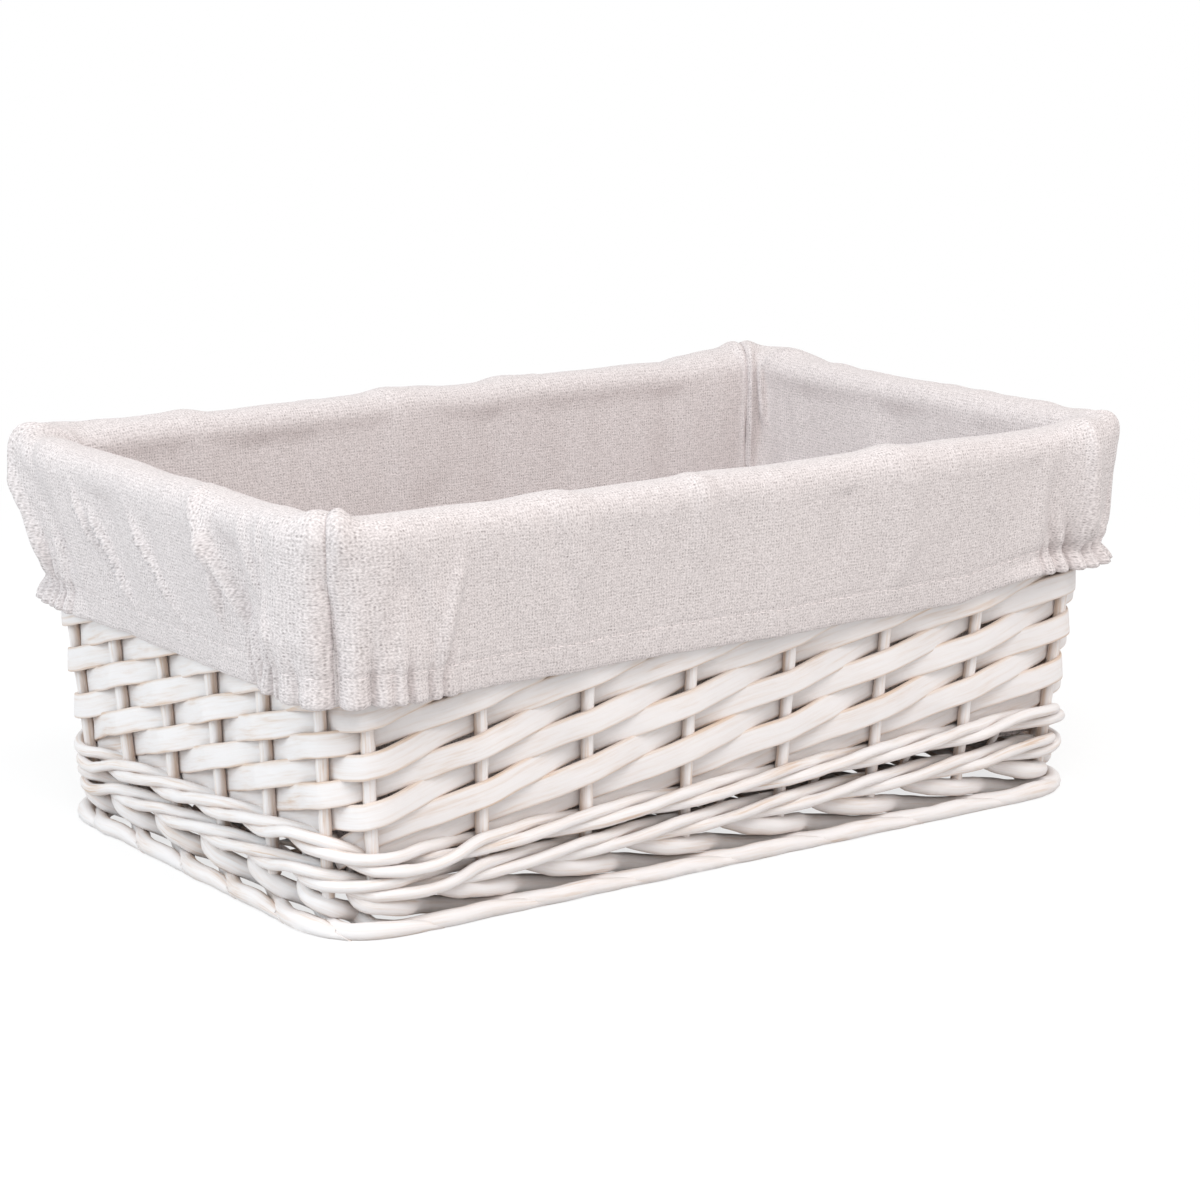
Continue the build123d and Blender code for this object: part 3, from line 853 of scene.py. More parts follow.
# Rows of the cloth: its turned hem, the cuff below and above a split, the crest and the inside
HEM_ROWS = 5
HEM_TURN_ROWS = 5
HEM_TURN = 0.95
LOW_CUFF_ROWS = 16
HIGH_CUFF_ROWS = 20
CUFF_SPLIT = 0.02
CUFF_CURVE = 0.85
CREST_ROWS = 17
CREST_CURVE = 0.8
INNER_ROWS = 40

# Columns of a side: close together beside the seams, wider in the middle, and how near they come to a seam
SEAM_REACH = 0.056
SEAM_COLUMNS = 0.0008
MIDDLE_GAP = 0.002
MIDDLE_COLUMNS = 0.0013
SEAM_EDGE = 0.00002

# Gathers that the elastic draws in at a corner: place from it, depth, height, lean and width
NEAR_GATHERS = (
    (-0.0400, 0.0075, 0.036, -0.22, 0.0026),
    (-0.0310, 0.0048, 0.013, -0.10, 0.0015),
    (-0.0225, 0.0096, 0.036, -0.06, 0.0023),
    (-0.0165, 0.0044, 0.012, 0.02, 0.0013),
    (-0.0090, 0.0036, 0.009, -0.05, 0.0014),
    (0.0010, 0.0062, 0.030, 0.00, 0.0018),
    (0.0095, 0.0058, 0.018, 0.03, 0.0018),
    (0.0150, 0.0030, 0.007, 0.10, 0.0012),
    (0.0205, 0.0042, 0.010, 0.08, 0.0016),
    (0.0295, 0.0036, 0.009, 0.12, 0.0017),
    (0.0365, 0.0040, 0.017, 0.30, 0.0020),
    (0.0440, 0.0016, 0.010, 0.30, 0.0020),
)
RIGHT_GATHERS = (
    (-0.0340, 0.0036, 0.012, -0.10, 0.0016),
    (-0.0265, 0.0056, 0.016, -0.35, 0.0020),
    (-0.0190, 0.0090, 0.022, -0.25, 0.0026),
    (-0.0130, 0.0060, 0.012, 0.05, 0.0014),
    (-0.0075, 0.0066, 0.040, 0.10, 0.0018),
    (-0.0020, 0.0050, 0.030, 0.05, 0.0014),
    (0.0045, 0.0056, 0.024, 0.10, 0.0016),
    (0.0115, 0.0054, 0.014, 0.15, 0.0016),
    (0.0190, 0.0056, 0.026, 0.25, 0.0020),
    (0.0270, 0.0040, 0.012, 0.20, 0.0016),
    (0.0350, 0.0030, 0.010, 0.30, 0.0018),
)
LEFT_GATHERS = (
    (-0.0280, 0.0040, 0.012, -0.20, 0.0017),
    (-0.0190, 0.0052, 0.020, -0.15, 0.0018),
    (-0.0110, 0.0050, 0.012, -0.05, 0.0015),
    (-0.0040, 0.0054, 0.026, 0.00, 0.0016),
    (0.0040, 0.0056, 0.018, 0.00, 0.0016),
    (0.0105, 0.0068, 0.040, -0.25, 0.0019),
    (0.0165, 0.0056, 0.014, -0.10, 0.0014),
    (0.0225, 0.0066, 0.018, -0.10, 0.0017),
    (0.0300, 0.0056, 0.024, -0.15, 0.0018),
    (0.0380, 0.0034, 0.012, 0.00, 0.0016),
)
CORNER_GATHERS = {0: NEAR_GATHERS, 1: RIGHT_GATHERS, 3: LEFT_GATHERS}

# Gathers of the other corner: where the first may start, and the ranges of the rest. Some reach high
GATHER_START = 0.005
GATHER_SPACING = (0.0046, 0.0108)
GATHER_DEPTHS = (0.35, 1.0)
GATHER_FADE = 0.008
GATHER_LEAN = 0.42
GATHER_LEANS = (-0.12, 0.12)
GATHER_WIDTHS = (0.0013, 0.0021)
HIGH_GATHERS = 0.36
HIGH_GATHER_HEIGHTS = (0.020, 0.034)
LOW_GATHER_HEIGHTS = (0.008, 0.014)

# How a gather fans out above the elastic, which lies at a share of the casing, and how sharp it is
ELASTIC_LEVEL = 0.6
GATHER_FAN = 0.024
VALLEY_SHARPNESS = 1.4
VALLEY_FADE = 1.5
VALLEY_PULL = 0.1
VALLEY_PULL_REACH = 0.012
VALLEY_PULL_END = 0.05

# Cuff at each corner: shares of the bulge, of the ruffle and of the pinch
CORNER_CUFFS = ((0.8, 1.6, 0.3), (0.6, 1.5, 1.7), (0.8, 1.0, 0.8), (1.5, 1.5, 1.4))
CUFF_REACH = 0.004
RUFFLE_FLARE = 0.35
RUFFLE_REACH = 0.03
PINCH_LEVEL = 0.75
PINCH_REACH = 0.0045
BULGE_WIDTH = 0.03
BULGE_START = 0.016
BULGE_RISE = 0.03

# Long folds of the cuff: corner, lower end along from it and up the cloth, upper end, depth and width.
# Corner 4 is the first one again, met from the left side
CUFF_FOLDS = (
    (4, -0.036, 0.010, -0.074, 0.060, 0.0044, 0.0030),
    (4, -0.035, 0.012, -0.040, 0.040, -0.0034, 0.0032),
    (4, -0.018, 0.012, -0.026, 0.060, 0.0030, 0.0030),
    (0, 0.034, 0.012, 0.045, 0.046, 0.0026, 0.0030),
    (0, 0.013, 0.012, 0.019, 0.048, -0.0016, 0.0030),
    (3, 0.020, 0.014, 0.006, 0.055, 0.0042, 0.0021),
    (3, 0.046, 0.012, 0.016, 0.066, -0.0020, 0.0042),
    (3, 0.068, 0.030, 0.055, 0.048, 0.0040, 0.0020),
    (3, 0.092, 0.016, 0.066, 0.043, 0.0042, 0.0020),
    (3, 0.130, 0.020, 0.105, 0.046, 0.0040, 0.0020),
    (3, 0.168, 0.022, 0.164, 0.053, 0.0036, 0.0020),
    (1, -0.014, 0.012, -0.018, 0.060, 0.0032, 0.0028),
    (1, -0.030, 0.012, -0.036, 0.044, -0.0018, 0.0034),
)
# The same inside, with their ends below the crest
INNER_FOLDS = (
    (2, -0.018, 0.002, -0.003, 0.014, 0.0034, 0.0030),
    (2, -0.002, 0.014, -0.006, 0.036, 0.0034, 0.0030),
    (2, 0.0065, 0.004, 0.0055, 0.05, 0.0024, 0.0022),
)
FOLD_FADE = 0.5
FOLD_EASE = 1.5

# Small folds: how many on each side, and the ranges of their places, lower ends, reach, slant, depth and
# width. Those on the left cuff lean back
CUFF_CREASES = (16, 13, 16, 15)
CUFF_CREASE_LEAN = (0, 0, 0, 0.45)
CUFF_CREASE = {"place": (0.06, 0.94), "rise": (0.010, 0.034), "reach": (0.018, 0.042), "slant": (-0.5, 0.5),
               "depth": (0.0005, 0.0015), "width": (0.003, 0.007)}
INNER_CREASES = 9
INNER_CREASE = {"place": (0.04, 0.96), "rise": (0.085, 0.15), "reach": (0.02, 0.06), "slant": (-0.6, 0.6),
                "depth": (0.0005, 0.0013), "width": (0.004, 0.009)}

# Slow waves of the cloth and of its crest: how many go round it, and their depth
DRAPE_WAVES = ((7, 0.0007), (13, 0.0006), (22, 0.0005), (37, 0.0003), (61, 0.00016))
DRAPE_SLANT = 30
CREST_WAVES = ((11, 0.00025), (19, 0.0002), (31, 0.0001))
CORNER_RISES = (1, 1, 1, -0.75)
CORNER_REACH = 0.03

# Puckers along the hem's stitching, and the dent of its thread
PUCKER_PITCH = 0.0062
PUCKER_SWAY = 3
PUCKER_SWAY_LENGTH = 0.017
PUCKER_REACH = 0.006
PUCKER_DEPTH = 0.00022
THREAD_DENT = 0.0004
THREAD_DENT_WIDTH = 0.0009

# Corner seams: how far each is shifted along and swells at the crest, its wander and unevenness, and its
# cord, roll, groove and lap
SEAM_SHIFTS = (0, 0, 0.009, 0)
SEAM_SWELLS = (1.0, 0.45, 0.45, 0.6)
SWELL_BELOW = 0.004
SWELL_REACH = 0.012
SEAM_WANDER = 0.0009
SEAM_WANDER_WAVE = 0.05
SEAM_EVEN = 0.65
SEAM_UNEVEN_WAVE = 0.04
CORD_PLACE = 0.0024
CORD_WIDTH = 0.0023
CORD_CREST_WIDTH = 0.0016
CORD_HEIGHT = 0.0008
CORD_CREST_HEIGHT = 0.0036
ROLL_PLACE = 0.0046
ROLL_WIDTH = 0.0036
ROLL_HEIGHT = 0.0018
ROLL_CREST_HEIGHT = 0.0006
GROOVE_LEAST = 0.6
GROOVE_MIDDLE = 0.9
GROOVE_WIDTH = 0.0015
GROOVE_SHARPNESS = 1.3
LAP_PLACE = 0.0022
LAP_SLANT = 0.0034
LAP_WIDTH = 0.0014
LAP_CURVE = 0.7
LAP_DEPTH = 0.5

# Levels of the hem from its plain one: at the front left corner, on the front, before the front right corner,
# at it, at the back right corner and back at the start
HANG_LEVELS = (-0.0036, -0.0022, 0.0050, 0.0050, 0, -0.0036)
HANG_ON_FRONT = 0.3
HANG_BEFORE_CORNER = 0.04

# How far the cloth may sink at the crest, where it lies on the rim border, and inside the crest
CREST_BLEND = 0.006
CREST_SINK = 0.0003
CREST_HELD = 0.016
SINK_SLOPE = 0.5
RIM_BUMP = 0.0018
RIM_BUMP_PLACE = 0.012
RIM_BUMP_REACH = 0.008
FOOT_FADE = 0.03


class Liner:
    """Shape of the liner's cloth."""

    def __init__(self):
        self.sizes = cloth()
        self.wall = Wall(wicker())
        self.cuff_grow = self.wall.lean * self.wall.rim_bend
        lengths = [float(self.wall.side_length(side, self.cuff_grow)) for side in range(len(SIDES))]
        self.lengths = np.array(lengths)
        self.starts = np.concatenate(([0], np.cumsum(lengths)[:-1]))
        self.around = float(sum(lengths))
        right = self.starts[1]
        self.hang_places = (0, HANG_ON_FRONT, right - HANG_BEFORE_CORNER, right, self.starts[2], self.around)
        self.build_profile()
        self.build_gathers()
        self.build_creases()

    def build_profile(self):
        """Rows of the cloth: rise, out of the leaning wall, level, and the way the cloth faces."""
        s = self.sizes
        shoulder = s.crest_level - s.crest_height
        turn_in = s.thickness * HEM_TURN
        split = s.hem_level + CUFF_SPLIT
        rows = []
        for level in np.linspace(s.hem_level + s.casing, s.hem_level + turn_in, HEM_ROWS):
            rows.append((s.hem_out - 2 * turn_in, level, (-1, 0)))
        for bend in np.linspace(math.pi, 2 * math.pi, HEM_TURN_ROWS)[1:-1]:
            across, up = math.cos(bend), math.sin(bend)
            out, level = s.hem_out - turn_in + turn_in * across, s.hem_level + turn_in + turn_in * up
            rows.append((out, level, (across, up)))
        self.first_cuff_row = len(rows)
        cuff_levels = np.concatenate((np.linspace(s.hem_level + turn_in, split, LOW_CUFF_ROWS)[:-1],
                                      np.linspace(split, shoulder, HIGH_CUFF_ROWS)[:-1]))
        for level in cuff_levels:
            up = (level - s.hem_level) / (shoulder - s.hem_level)
            rows.append((s.hem_out + (s.crest_out - s.hem_out) * up ** CUFF_CURVE, level, (1, 0)))
        middle, half = (s.crest_out - s.wall_gap) / 2, (s.crest_out + s.wall_gap) / 2
        for bend in np.linspace(0, math.pi, CREST_ROWS):
            across, up = math.cos(bend), math.sin(bend)
            out = middle + half * math.copysign(abs(across) ** CREST_CURVE, across)
            rows.append((out, shoulder + s.crest_height * max(up, 0) ** CREST_CURVE, (across, up)))
        for level in np.linspace(shoulder, s.wall_foot, INNER_ROWS)[1:]:
            rows.append((-s.wall_gap, level, (-1, 0)))
        self.out = np.array([row[0] for row in rows])
        self.level = np.array([row[1] for row in rows])
        self.faces = np.array([row[2] for row in rows])
        path = np.stack((self.out + self.wall.lean * self.level, self.level), axis=-1)
        rise = run_lengths(path)
        self.rise = rise - rise[self.first_cuff_row]
        self.crest_rise = self.rise[np.argmax(self.level)]

    def build_gathers(self):
        """Valleys that the elastic draws in beside each corner, and that fan out above it."""
        self.gathers = []
        for corner in range(len(SIDES)):
            draw = np.random.default_rng(GATHER_SEED + corner)
            gathers = CORNER_GATHERS.get(corner) or self.random_gathers(draw)
            self.gathers += [(corner, *gather) for gather in gathers]

    def random_gathers(self, draw):
        """Gathers of a corner that has no list of them."""
        reach = self.sizes.gather_reach
        gathers = []
        middle = -reach + draw.uniform(0, GATHER_START)
        while middle < reach:
            heights = HIGH_GATHER_HEIGHTS if draw.uniform() < HIGH_GATHERS else LOW_GATHER_HEIGHTS
            height = draw.uniform(*heights)
            near = max(1 - (abs(middle) / (reach + GATHER_FADE)) ** 2, 0)
            depth = self.sizes.gather_depth * draw.uniform(*GATHER_DEPTHS) * near
            lean = GATHER_LEAN * middle / reach + draw.uniform(*GATHER_LEANS)
            gathers.append((middle, depth, height, lean, draw.uniform(*GATHER_WIDTHS)))
            middle += draw.uniform(*GATHER_SPACING)
        return gathers

    def build_creases(self):
        """Slanting folds: lower end along and up the cloth, upper end, depth and width."""
        corners = np.append(self.starts, self.around)
        self.creases = []
        for folds, base in ((CUFF_FOLDS, 0), (INNER_FOLDS, self.crest_rise)):
            for corner, low, low_rise, high, high_rise, depth, width in folds:
                self.creases.append((corners[corner] + low, base + low_rise, corners[corner] + high,
                                     base + high_rise, depth, width))
        for side, number in enumerate(CUFF_CREASES):
            draw, ranges = np.random.default_rng(CUFF_SEED + side), CUFF_CREASE
            for _ in range(number):
                low = self.starts[side] + draw.uniform(*ranges["place"]) * self.lengths[side]
                rise, reach = draw.uniform(*ranges["rise"]), draw.uniform(*ranges["reach"])
                slant = draw.uniform(*ranges["slant"]) - CUFF_CREASE_LEAN[side]
                depth = draw.uniform(*ranges["depth"]) * draw.choice((1, -1))
                width = draw.uniform(*ranges["width"])
                self.creases.append((low, rise, low + slant * reach, rise + reach, depth, width))
        for side in range(len(SIDES)):
            draw, ranges = np.random.default_rng(INNER_SEED + side), INNER_CREASE
            for _ in range(INNER_CREASES):
                low = self.starts[side] + draw.uniform(*ranges["place"]) * self.lengths[side]
                rise, reach = draw.uniform(*ranges["rise"]), draw.uniform(*ranges["reach"])
                depth = draw.uniform(*ranges["depth"]) * draw.choice((1, -1))
                slant = draw.uniform(*ranges["slant"])
                width = draw.uniform(*ranges["width"])
                self.creases.append((low, rise, low + slant * reach, rise + reach, depth, width))

    def from_corner(self, along, corner):
        """Signed distance from a corner, the short way round."""
        return (along - self.starts[corner] + self.around / 2) % self.around - self.around / 2

    def swell(self, along, rise):
        """How far the cloth stands off its plain shape."""
        along, rise = np.broadcast_arrays(along, rise)
        on_cuff = np.clip((self.crest_rise + CREST_BLEND - rise) / (2 * CREST_BLEND), 0, 1)
        return (self.drape(along, rise) + self.folds(along, rise) + on_cuff * self.gathered(along, rise)
                + self.seams(along, rise))

    def drape(self, along, rise):
        """Slow waves of hanging cloth, and the puckers of the hem's stitching."""
        draw = np.random.default_rng(DRAPE_SEED)
        off = np.zeros(along.shape)
        turn = 2 * math.pi * along / self.around
        for waves, depth in DRAPE_WAVES:
            slant = draw.uniform(-DRAPE_SLANT, DRAPE_SLANT)
            off = off + depth * np.sin(waves * turn + slant * rise + draw.uniform(0, PHASES))
        line = np.abs(rise - self.sizes.casing)
        sway = PUCKER_SWAY * np.sin(along / PUCKER_SWAY_LENGTH)
        pucker = np.sin(2 * math.pi * along / PUCKER_PITCH + sway) * np.exp(-(line / PUCKER_REACH) ** 2)
        return off + PUCKER_DEPTH * pucker - THREAD_DENT * np.exp(-(line / THREAD_DENT_WIDTH) ** 2)

    def folds(self, along, rise):
        """The slanting folds, each a ridge that fades out at its ends."""
        off = np.zeros(along.shape)
        for low, low_rise, high, high_rise, depth, width in self.creases:
            up = np.clip((rise - low_rise) / (high_rise - low_rise), -FOLD_FADE, 1 + FOLD_FADE)
            x = (along - low - (high - low) * up + self.around / 2) % self.around - self.around / 2
            fade = (np.clip(FOLD_EASE * (up + FOLD_FADE), 0, 1)
                    * np.clip(FOLD_EASE * (1 + FOLD_FADE - up), 0, 1))
            off = off + depth * fade ** 2 * np.exp(-(x / width) ** 2)
        return off

    def valleys(self, along, rise):
        """How deep the gathers cut into the ruffle: narrow at the elastic and wider above it."""
        off = np.zeros(along.shape)
        above = np.maximum(rise - ELASTIC_LEVEL * self.sizes.casing, 0)
        for corner, middle, depth, height, lean, width in self.gathers:
            x = self.from_corner(along, corner) - middle - lean * above
            wide = width * (1 + above / GATHER_FAN)
            fade = np.abs(x / wide) ** VALLEY_SHARPNESS + (above / height) ** VALLEY_FADE
            off = off + depth * np.exp(-fade)
        return off

    def gathered(self, along, rise):
        """Gathers at the elastic, the pinch that it makes and the bulge above it."""
        s = self.sizes
        off = -self.valleys(along, rise)
        below = np.clip(1 - rise / (ELASTIC_LEVEL * s.casing), 0, 1)
        above = np.maximum(rise - ELASTIC_LEVEL * s.casing, 0)
        for corner, (bulge, flare, drawn) in enumerate(CORNER_CUFFS):
            x = self.from_corner(along, corner)
            near = np.exp(-(x / (s.gather_reach + CUFF_REACH)) ** 4)
            ruffle = near * (1 + RUFFLE_FLARE * drawn * below) * np.exp(-(above / RUFFLE_REACH) ** 2)
            pinch = near * np.exp(-((rise - PINCH_LEVEL * s.casing) / PINCH_REACH) ** 2)
            round_corner = np.exp(-(x / BULGE_WIDTH) ** 2) * np.clip((rise - BULGE_START) / BULGE_RISE, 0, 1)
            off = off + flare * s.ruffle * ruffle - drawn * s.pinch * pinch
            off = off + bulge * s.corner_bulge * round_corner
        return off

    def seams(self, along, rise):
        """Corner seams: a groove with a soft roll beside it, which swells at the crest."""
        off = np.zeros(along.shape)
        crest = np.exp(-((rise - self.crest_rise + SWELL_BELOW) / SWELL_REACH) ** 2)
        up = np.clip(rise / self.crest_rise, 0, 1)
        for corner, swollen in enumerate(SEAM_SWELLS):
            draw = np.random.default_rng(SEAM_SEED + corner)
            wander = SEAM_WANDER * ripple(draw, rise, SEAM_WANDER_WAVE)
            x = self.from_corner(along, corner) - SEAM_SHIFTS[corner] + wander
            uneven = SEAM_EVEN + (1 - SEAM_EVEN) * ripple(draw, rise, SEAM_UNEVEN_WAVE)
            cord = np.exp(-((x - CORD_PLACE) / (CORD_WIDTH + CORD_CREST_WIDTH * crest)) ** 2)
            cord = cord * (CORD_HEIGHT * uneven + CORD_CREST_HEIGHT * swollen * crest)
            roll = np.exp(-((x + ROLL_PLACE) / ROLL_WIDTH) ** 2)
            roll = roll * (ROLL_HEIGHT * uneven + ROLL_CREST_HEIGHT * swollen * crest)
            groove = np.exp(-np.abs(x / GROOVE_WIDTH) ** GROOVE_SHARPNESS)
            groove = groove * (GROOVE_LEAST + GROOVE_MIDDLE * np.sin(math.pi * up))
            lap = np.exp(-np.abs((x - LAP_PLACE - LAP_SLANT * up) / LAP_WIDTH) ** GROOVE_SHARPNESS)
            lap = LAP_DEPTH * swollen * lap * np.sin(math.pi * up ** LAP_CURVE)
            off = off + cord + roll - self.sizes.seam_depth * uneven * (groove + lap)
        return off

    def dip(self, along):
        """How far the crest lies below its level: it waves, and rises or falls at the corners."""
        draw = np.random.default_rng(CREST_SEED)
        turn = 2 * math.pi * along / self.around
        fall = np.zeros(along.shape)
        for waves, depth in CREST_WAVES:
            fall = fall + depth * (np.sin(waves * turn + draw.uniform(0, PHASES)) - 1)
        for corner, high in enumerate(CORNER_RISES):
            near = np.exp(-(self.from_corner(along, corner) / CORNER_REACH) ** 2)
            fall = fall - high * self.sizes.corner_rise * near
        return fall

    def stand_off(self, along, rise):
        """How far the cloth stands off its plain shape, kept off the rim border and ending at its foot."""
        off = self.swell(along, np.abs(rise)) * np.clip((self.rise[-1] - rise) / FOOT_FADE, 0, 1)
        inside = rise - self.crest_rise
        least = -CREST_SINK - SINK_SLOPE * np.maximum(np.abs(inside) - CREST_HELD, 0)
        least = least + RIM_BUMP * np.exp(-((inside - RIM_BUMP_PLACE) / RIM_BUMP_REACH) ** 2)
        return np.maximum(off, least)

    def points(self, along, rise, lift=0.0):
        """Points of the cloth, lifted off its face."""
        along, rise = np.broadcast_arrays(np.asarray(along, float), np.asarray(rise, float))
        out, level = np.interp(rise, self.rise, self.out), np.interp(rise, self.rise, self.level)
        face_out, face_up = (np.interp(rise, self.rise, faces) for faces in self.faces.T)
        off = self.stand_off(along, rise)
        hem = rise < self.sizes.casing
        push_out = np.where(hem, off, face_out * off) + face_out * lift
        push_up = np.where(hem, 0, face_up * off) + face_up * lift
        side = np.searchsorted(self.starts, along % self.around, side="right") - 1
        turns = self.wall.turn_at(side, along % self.around - self.starts[side], self.cuff_grow)
        bend = (level - self.sizes.hem_level) / (self.sizes.crest_level - self.sizes.hem_level)
        bend = np.clip(bend, 0, 1)
        hung = np.interp(along % self.around, self.hang_places, HANG_LEVELS)
        level = level + np.where(rise < self.crest_rise, (1 - bend) * hung, 0)
        pulled = VALLEY_PULL * self.valleys(along, np.abs(rise)) * np.exp(-np.abs(rise) / VALLEY_PULL_REACH)
        level = level - bend * self.dip(along) + push_up + np.where(rise < VALLEY_PULL_END, pulled, 0)
        return self.wall.points(turns, out + push_out, level)


def panel_columns(liner, side):
    """Places along a side, close together beside its seams."""
    size = liner.lengths[side]
    beside = np.arange(0, SEAM_REACH, SEAM_COLUMNS)
    number = int((size - 2 * beside[-1]) / MIDDLE_COLUMNS)
    middle = np.linspace(beside[-1] + MIDDLE_GAP, size - beside[-1] - MIDDLE_GAP, number)
    columns = np.clip(np.concatenate((beside, middle, size - beside[::-1])), SEAM_EDGE, size - SEAM_EDGE)
    first, last = SEAM_SHIFTS[side], SEAM_SHIFTS[(side + 1) % len(SIDES)]
    return liner.starts[side] + columns + first + (last - first) * columns / size


class BASKET_OT_liner_panels(bpy.types.Operator):
    """Hang the liner's sides and their gathered cuffs over the rim"""

    bl_idname = "basket.liner_panels"
    bl_label = "Liner panels"

    def execute(self, context):
        liner, material = Liner(), cloth_material()
        for side, name in enumerate(SIDES):
            columns = panel_columns(liner, side)
            along, rise = np.meshgrid(columns, liner.rise, indexing="ij")
            skin = Skin()
            skin.sheet(liner.points(along, rise)[:, ::-1], along[:, ::-1], rise[:, ::-1], PLAIN_TINT)
            piece = skin.make(f"liner_{name}_cloth", material, math.pi)
            thicken(piece, liner.sizes.thickness)
            place(piece, LINER, "cotton", f"liner_{name}")
        return {"FINISHED"}


def thicken(piece, thickness):
    solid = piece.modifiers.new("cloth", "SOLIDIFY")
    solid.thickness = thickness
    solid.offset = 0


# Bottom of the liner: points round it and shares of the way out to its edge, the lap under the sides, and the
# depth and length of its waves along and across, which end near the edge
BOTTOM_POINTS = 241
BOTTOM_SHARES = np.concatenate((np.linspace(0.0002, 0.9, 20), np.linspace(0.92, 1, 8)))
BOTTOM_LAP = 0.0006
BOTTOM_LIFT = 0.0006
BOTTOM_WAVES = ((0.0005, 0.09), (0.0004, 0.07))
BOTTOM_FADE = 0.1


class BASKET_OT_liner_bottom(bpy.types.Operator):
    """Lay the liner's bottom on the base"""

    bl_idname = "basket.liner_bottom"
    bl_label = "Liner bottom"

    def execute(self, context):
        sizes, wall = cloth(), Wall(wicker())
        turns = np.linspace(0, wall.stakes, BOTTOM_POINTS)
        grow = wall.lean * sizes.wall_foot
        x, y, heading = wall.ring(turns, grow)
        inset = sizes.wall_gap - BOTTOM_LAP
        edge = np.stack((x - inset * np.sin(heading), y + inset * np.cos(heading)), axis=-1)
        draw = np.random.default_rng(BOTTOM_SEED)
        grid = np.zeros((len(turns), len(BOTTOM_SHARES), 3))
        grid[..., :2] = edge[:, None] * BOTTOM_SHARES[:, None]
        wave = sum(depth * ripple(draw, grid[..., axis], size)
                   for axis, (depth, size) in enumerate(BOTTOM_WAVES))
        fade = np.clip((1 - BOTTOM_SHARES) / BOTTOM_FADE, 0, 1)
        grid[..., 2] = sizes.bottom_level + BOTTOM_LIFT + wave * fade
        skin = Skin()
        skin.sheet(grid, grid[..., 0], grid[..., 1], PLAIN_TINT)
        piece = skin.make("liner_bottom_cloth", cloth_material(), math.pi)
        thicken(piece, sizes.thickness)
        place(piece, LINER, "cotton", "liner_bottom")
        return {"FINISHED"}


# Elastic: its place under the cloth in thicknesses, and its rows and columns
ELASTIC_INSET = 1.2
ELASTIC_ROWS = 9
ELASTIC_COLUMNS = 0.0012

# Stitches: thickness, sides and rings of a thread, its blunt ends, and its place below the casing's top
STITCH_RADIUS = 0.00028
STITCH_SIDES = 6
STITCH_RINGS = 6
STITCH_END = 0.02
STITCH_BELOW = 0.0006
STITCH_STRAY = 0.0003


class BASKET_OT_hem(bpy.types.Operator):
    """Sew the hem and draw elastic through it at the corners"""

    bl_idname = "basket.hem"
    bl_label = "Hem"

    def execute(self, context):
        liner = Liner()
        self.elastics(liner)
        self.stitches(liner)
        return {"FINISHED"}

    def elastics(self, liner):
        sizes = liner.sizes
        skin = Skin()
        inset = -sizes.thickness * ELASTIC_INSET
        rise = sizes.casing / 2 + sizes.elastic_width / 2 * np.linspace(-1, 1, ELASTIC_ROWS)
        for start in liner.starts:
            along = start + np.arange(-sizes.gather_reach, sizes.gather_reach, ELASTIC_COLUMNS)
            outer = liner.points(along[:, None], rise, inset + sizes.elastic_thickness / 2)
            inner = liner.points(along[:, None], rise, inset - sizes.elastic_thickness / 2)
            rings = np.concatenate((outer, inner[:, ::-1]), axis=1)
            around = np.concatenate((rise, rise[::-1], rise[:1]))
            skin.tube(rings, along, around, PLAIN_TINT)
        place(skin.make("hem_elastics_band", elastic_material(), CREASE), LINER, "elastic", "hem_elastics")

    def stitches(self, liner):
        sizes = liner.sizes
        pitch = sizes.stitch_length + sizes.stitch_gap
        material = thread_material()
        draw = np.random.default_rng(STITCH_SEED)
        shares = np.linspace(-0.5, 0.5, STITCH_RINGS)
        radii = STITCH_RADIUS * np.sqrt(np.clip(1 + STITCH_END - (2 * shares) ** 2, STITCH_END, 1))
        angles = np.linspace(0, 2 * math.pi, STITCH_SIDES, endpoint=False)
        around = np.append(angles, 2 * math.pi) * STITCH_RADIUS
        for name, start, size in zip(SIDES, liner.starts, liner.lengths):
            skin = Skin()
            for middle in np.arange(start + pitch, start + size - pitch / 2, pitch):
                along = middle + sizes.stitch_length * shares
                rise = np.full_like(along, sizes.casing - STITCH_BELOW + STITCH_STRAY * draw.uniform(-1, 1))
                points = liner.points(along, rise, sizes.thickness / 2)
                ahead = unit(np.gradient(points, axis=0))
                up = np.tile((0.0, 0.0, 1.0), (len(points), 1))
                side_way = unit(np.cross(ahead, up))
                up = unit(np.cross(side_way, ahead))
                rings = points[:, None] + radii[:, None, None] * (
                    side_way[:, None] * np.cos(angles)[:, None] + up[:, None] * np.sin(angles)[:, None])
                skin.tube(rings, along, around, PLAIN_TINT)
            piece = skin.make(f"hem_stitches_{name}", material, CREASE)
            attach(piece, LINER)


# Materials

# Willow grain: streaks and patches to a metre along it, how wide patches are in streaks, the detail and
# roughness of each noise, and the part of it that is spread from 0 to 1
STREAKS_ALONG = 45.0
PATCHES_ALONG = 28.0
PATCH_ACROSS = 0.3
STREAK_NOISE = (1.0, 4.0, 0.6)
PATCH_NOISE = (1.0, 3.0, 0.55)
STREAK_RANGE = (0.42, 0.72)
PATCH_RANGE = (0.45, 0.75)

# Each kind of willow: width of its streaks, how bare its patches are and how thin its paint is
WILLOW_KINDS = {
    "strip": (0.0014, 0.75, 0.12),
    "stake": (0.0011, 0.6, 0.3),
    "foot": (0.0013, 0.65, 0.18),
    "wale": (0.0012, 0.7, 0.22),
    "base_stick": (0.0013, 0.6, 0.12),
    "base_strip": (0.0016, 0.5, 0.12),
}

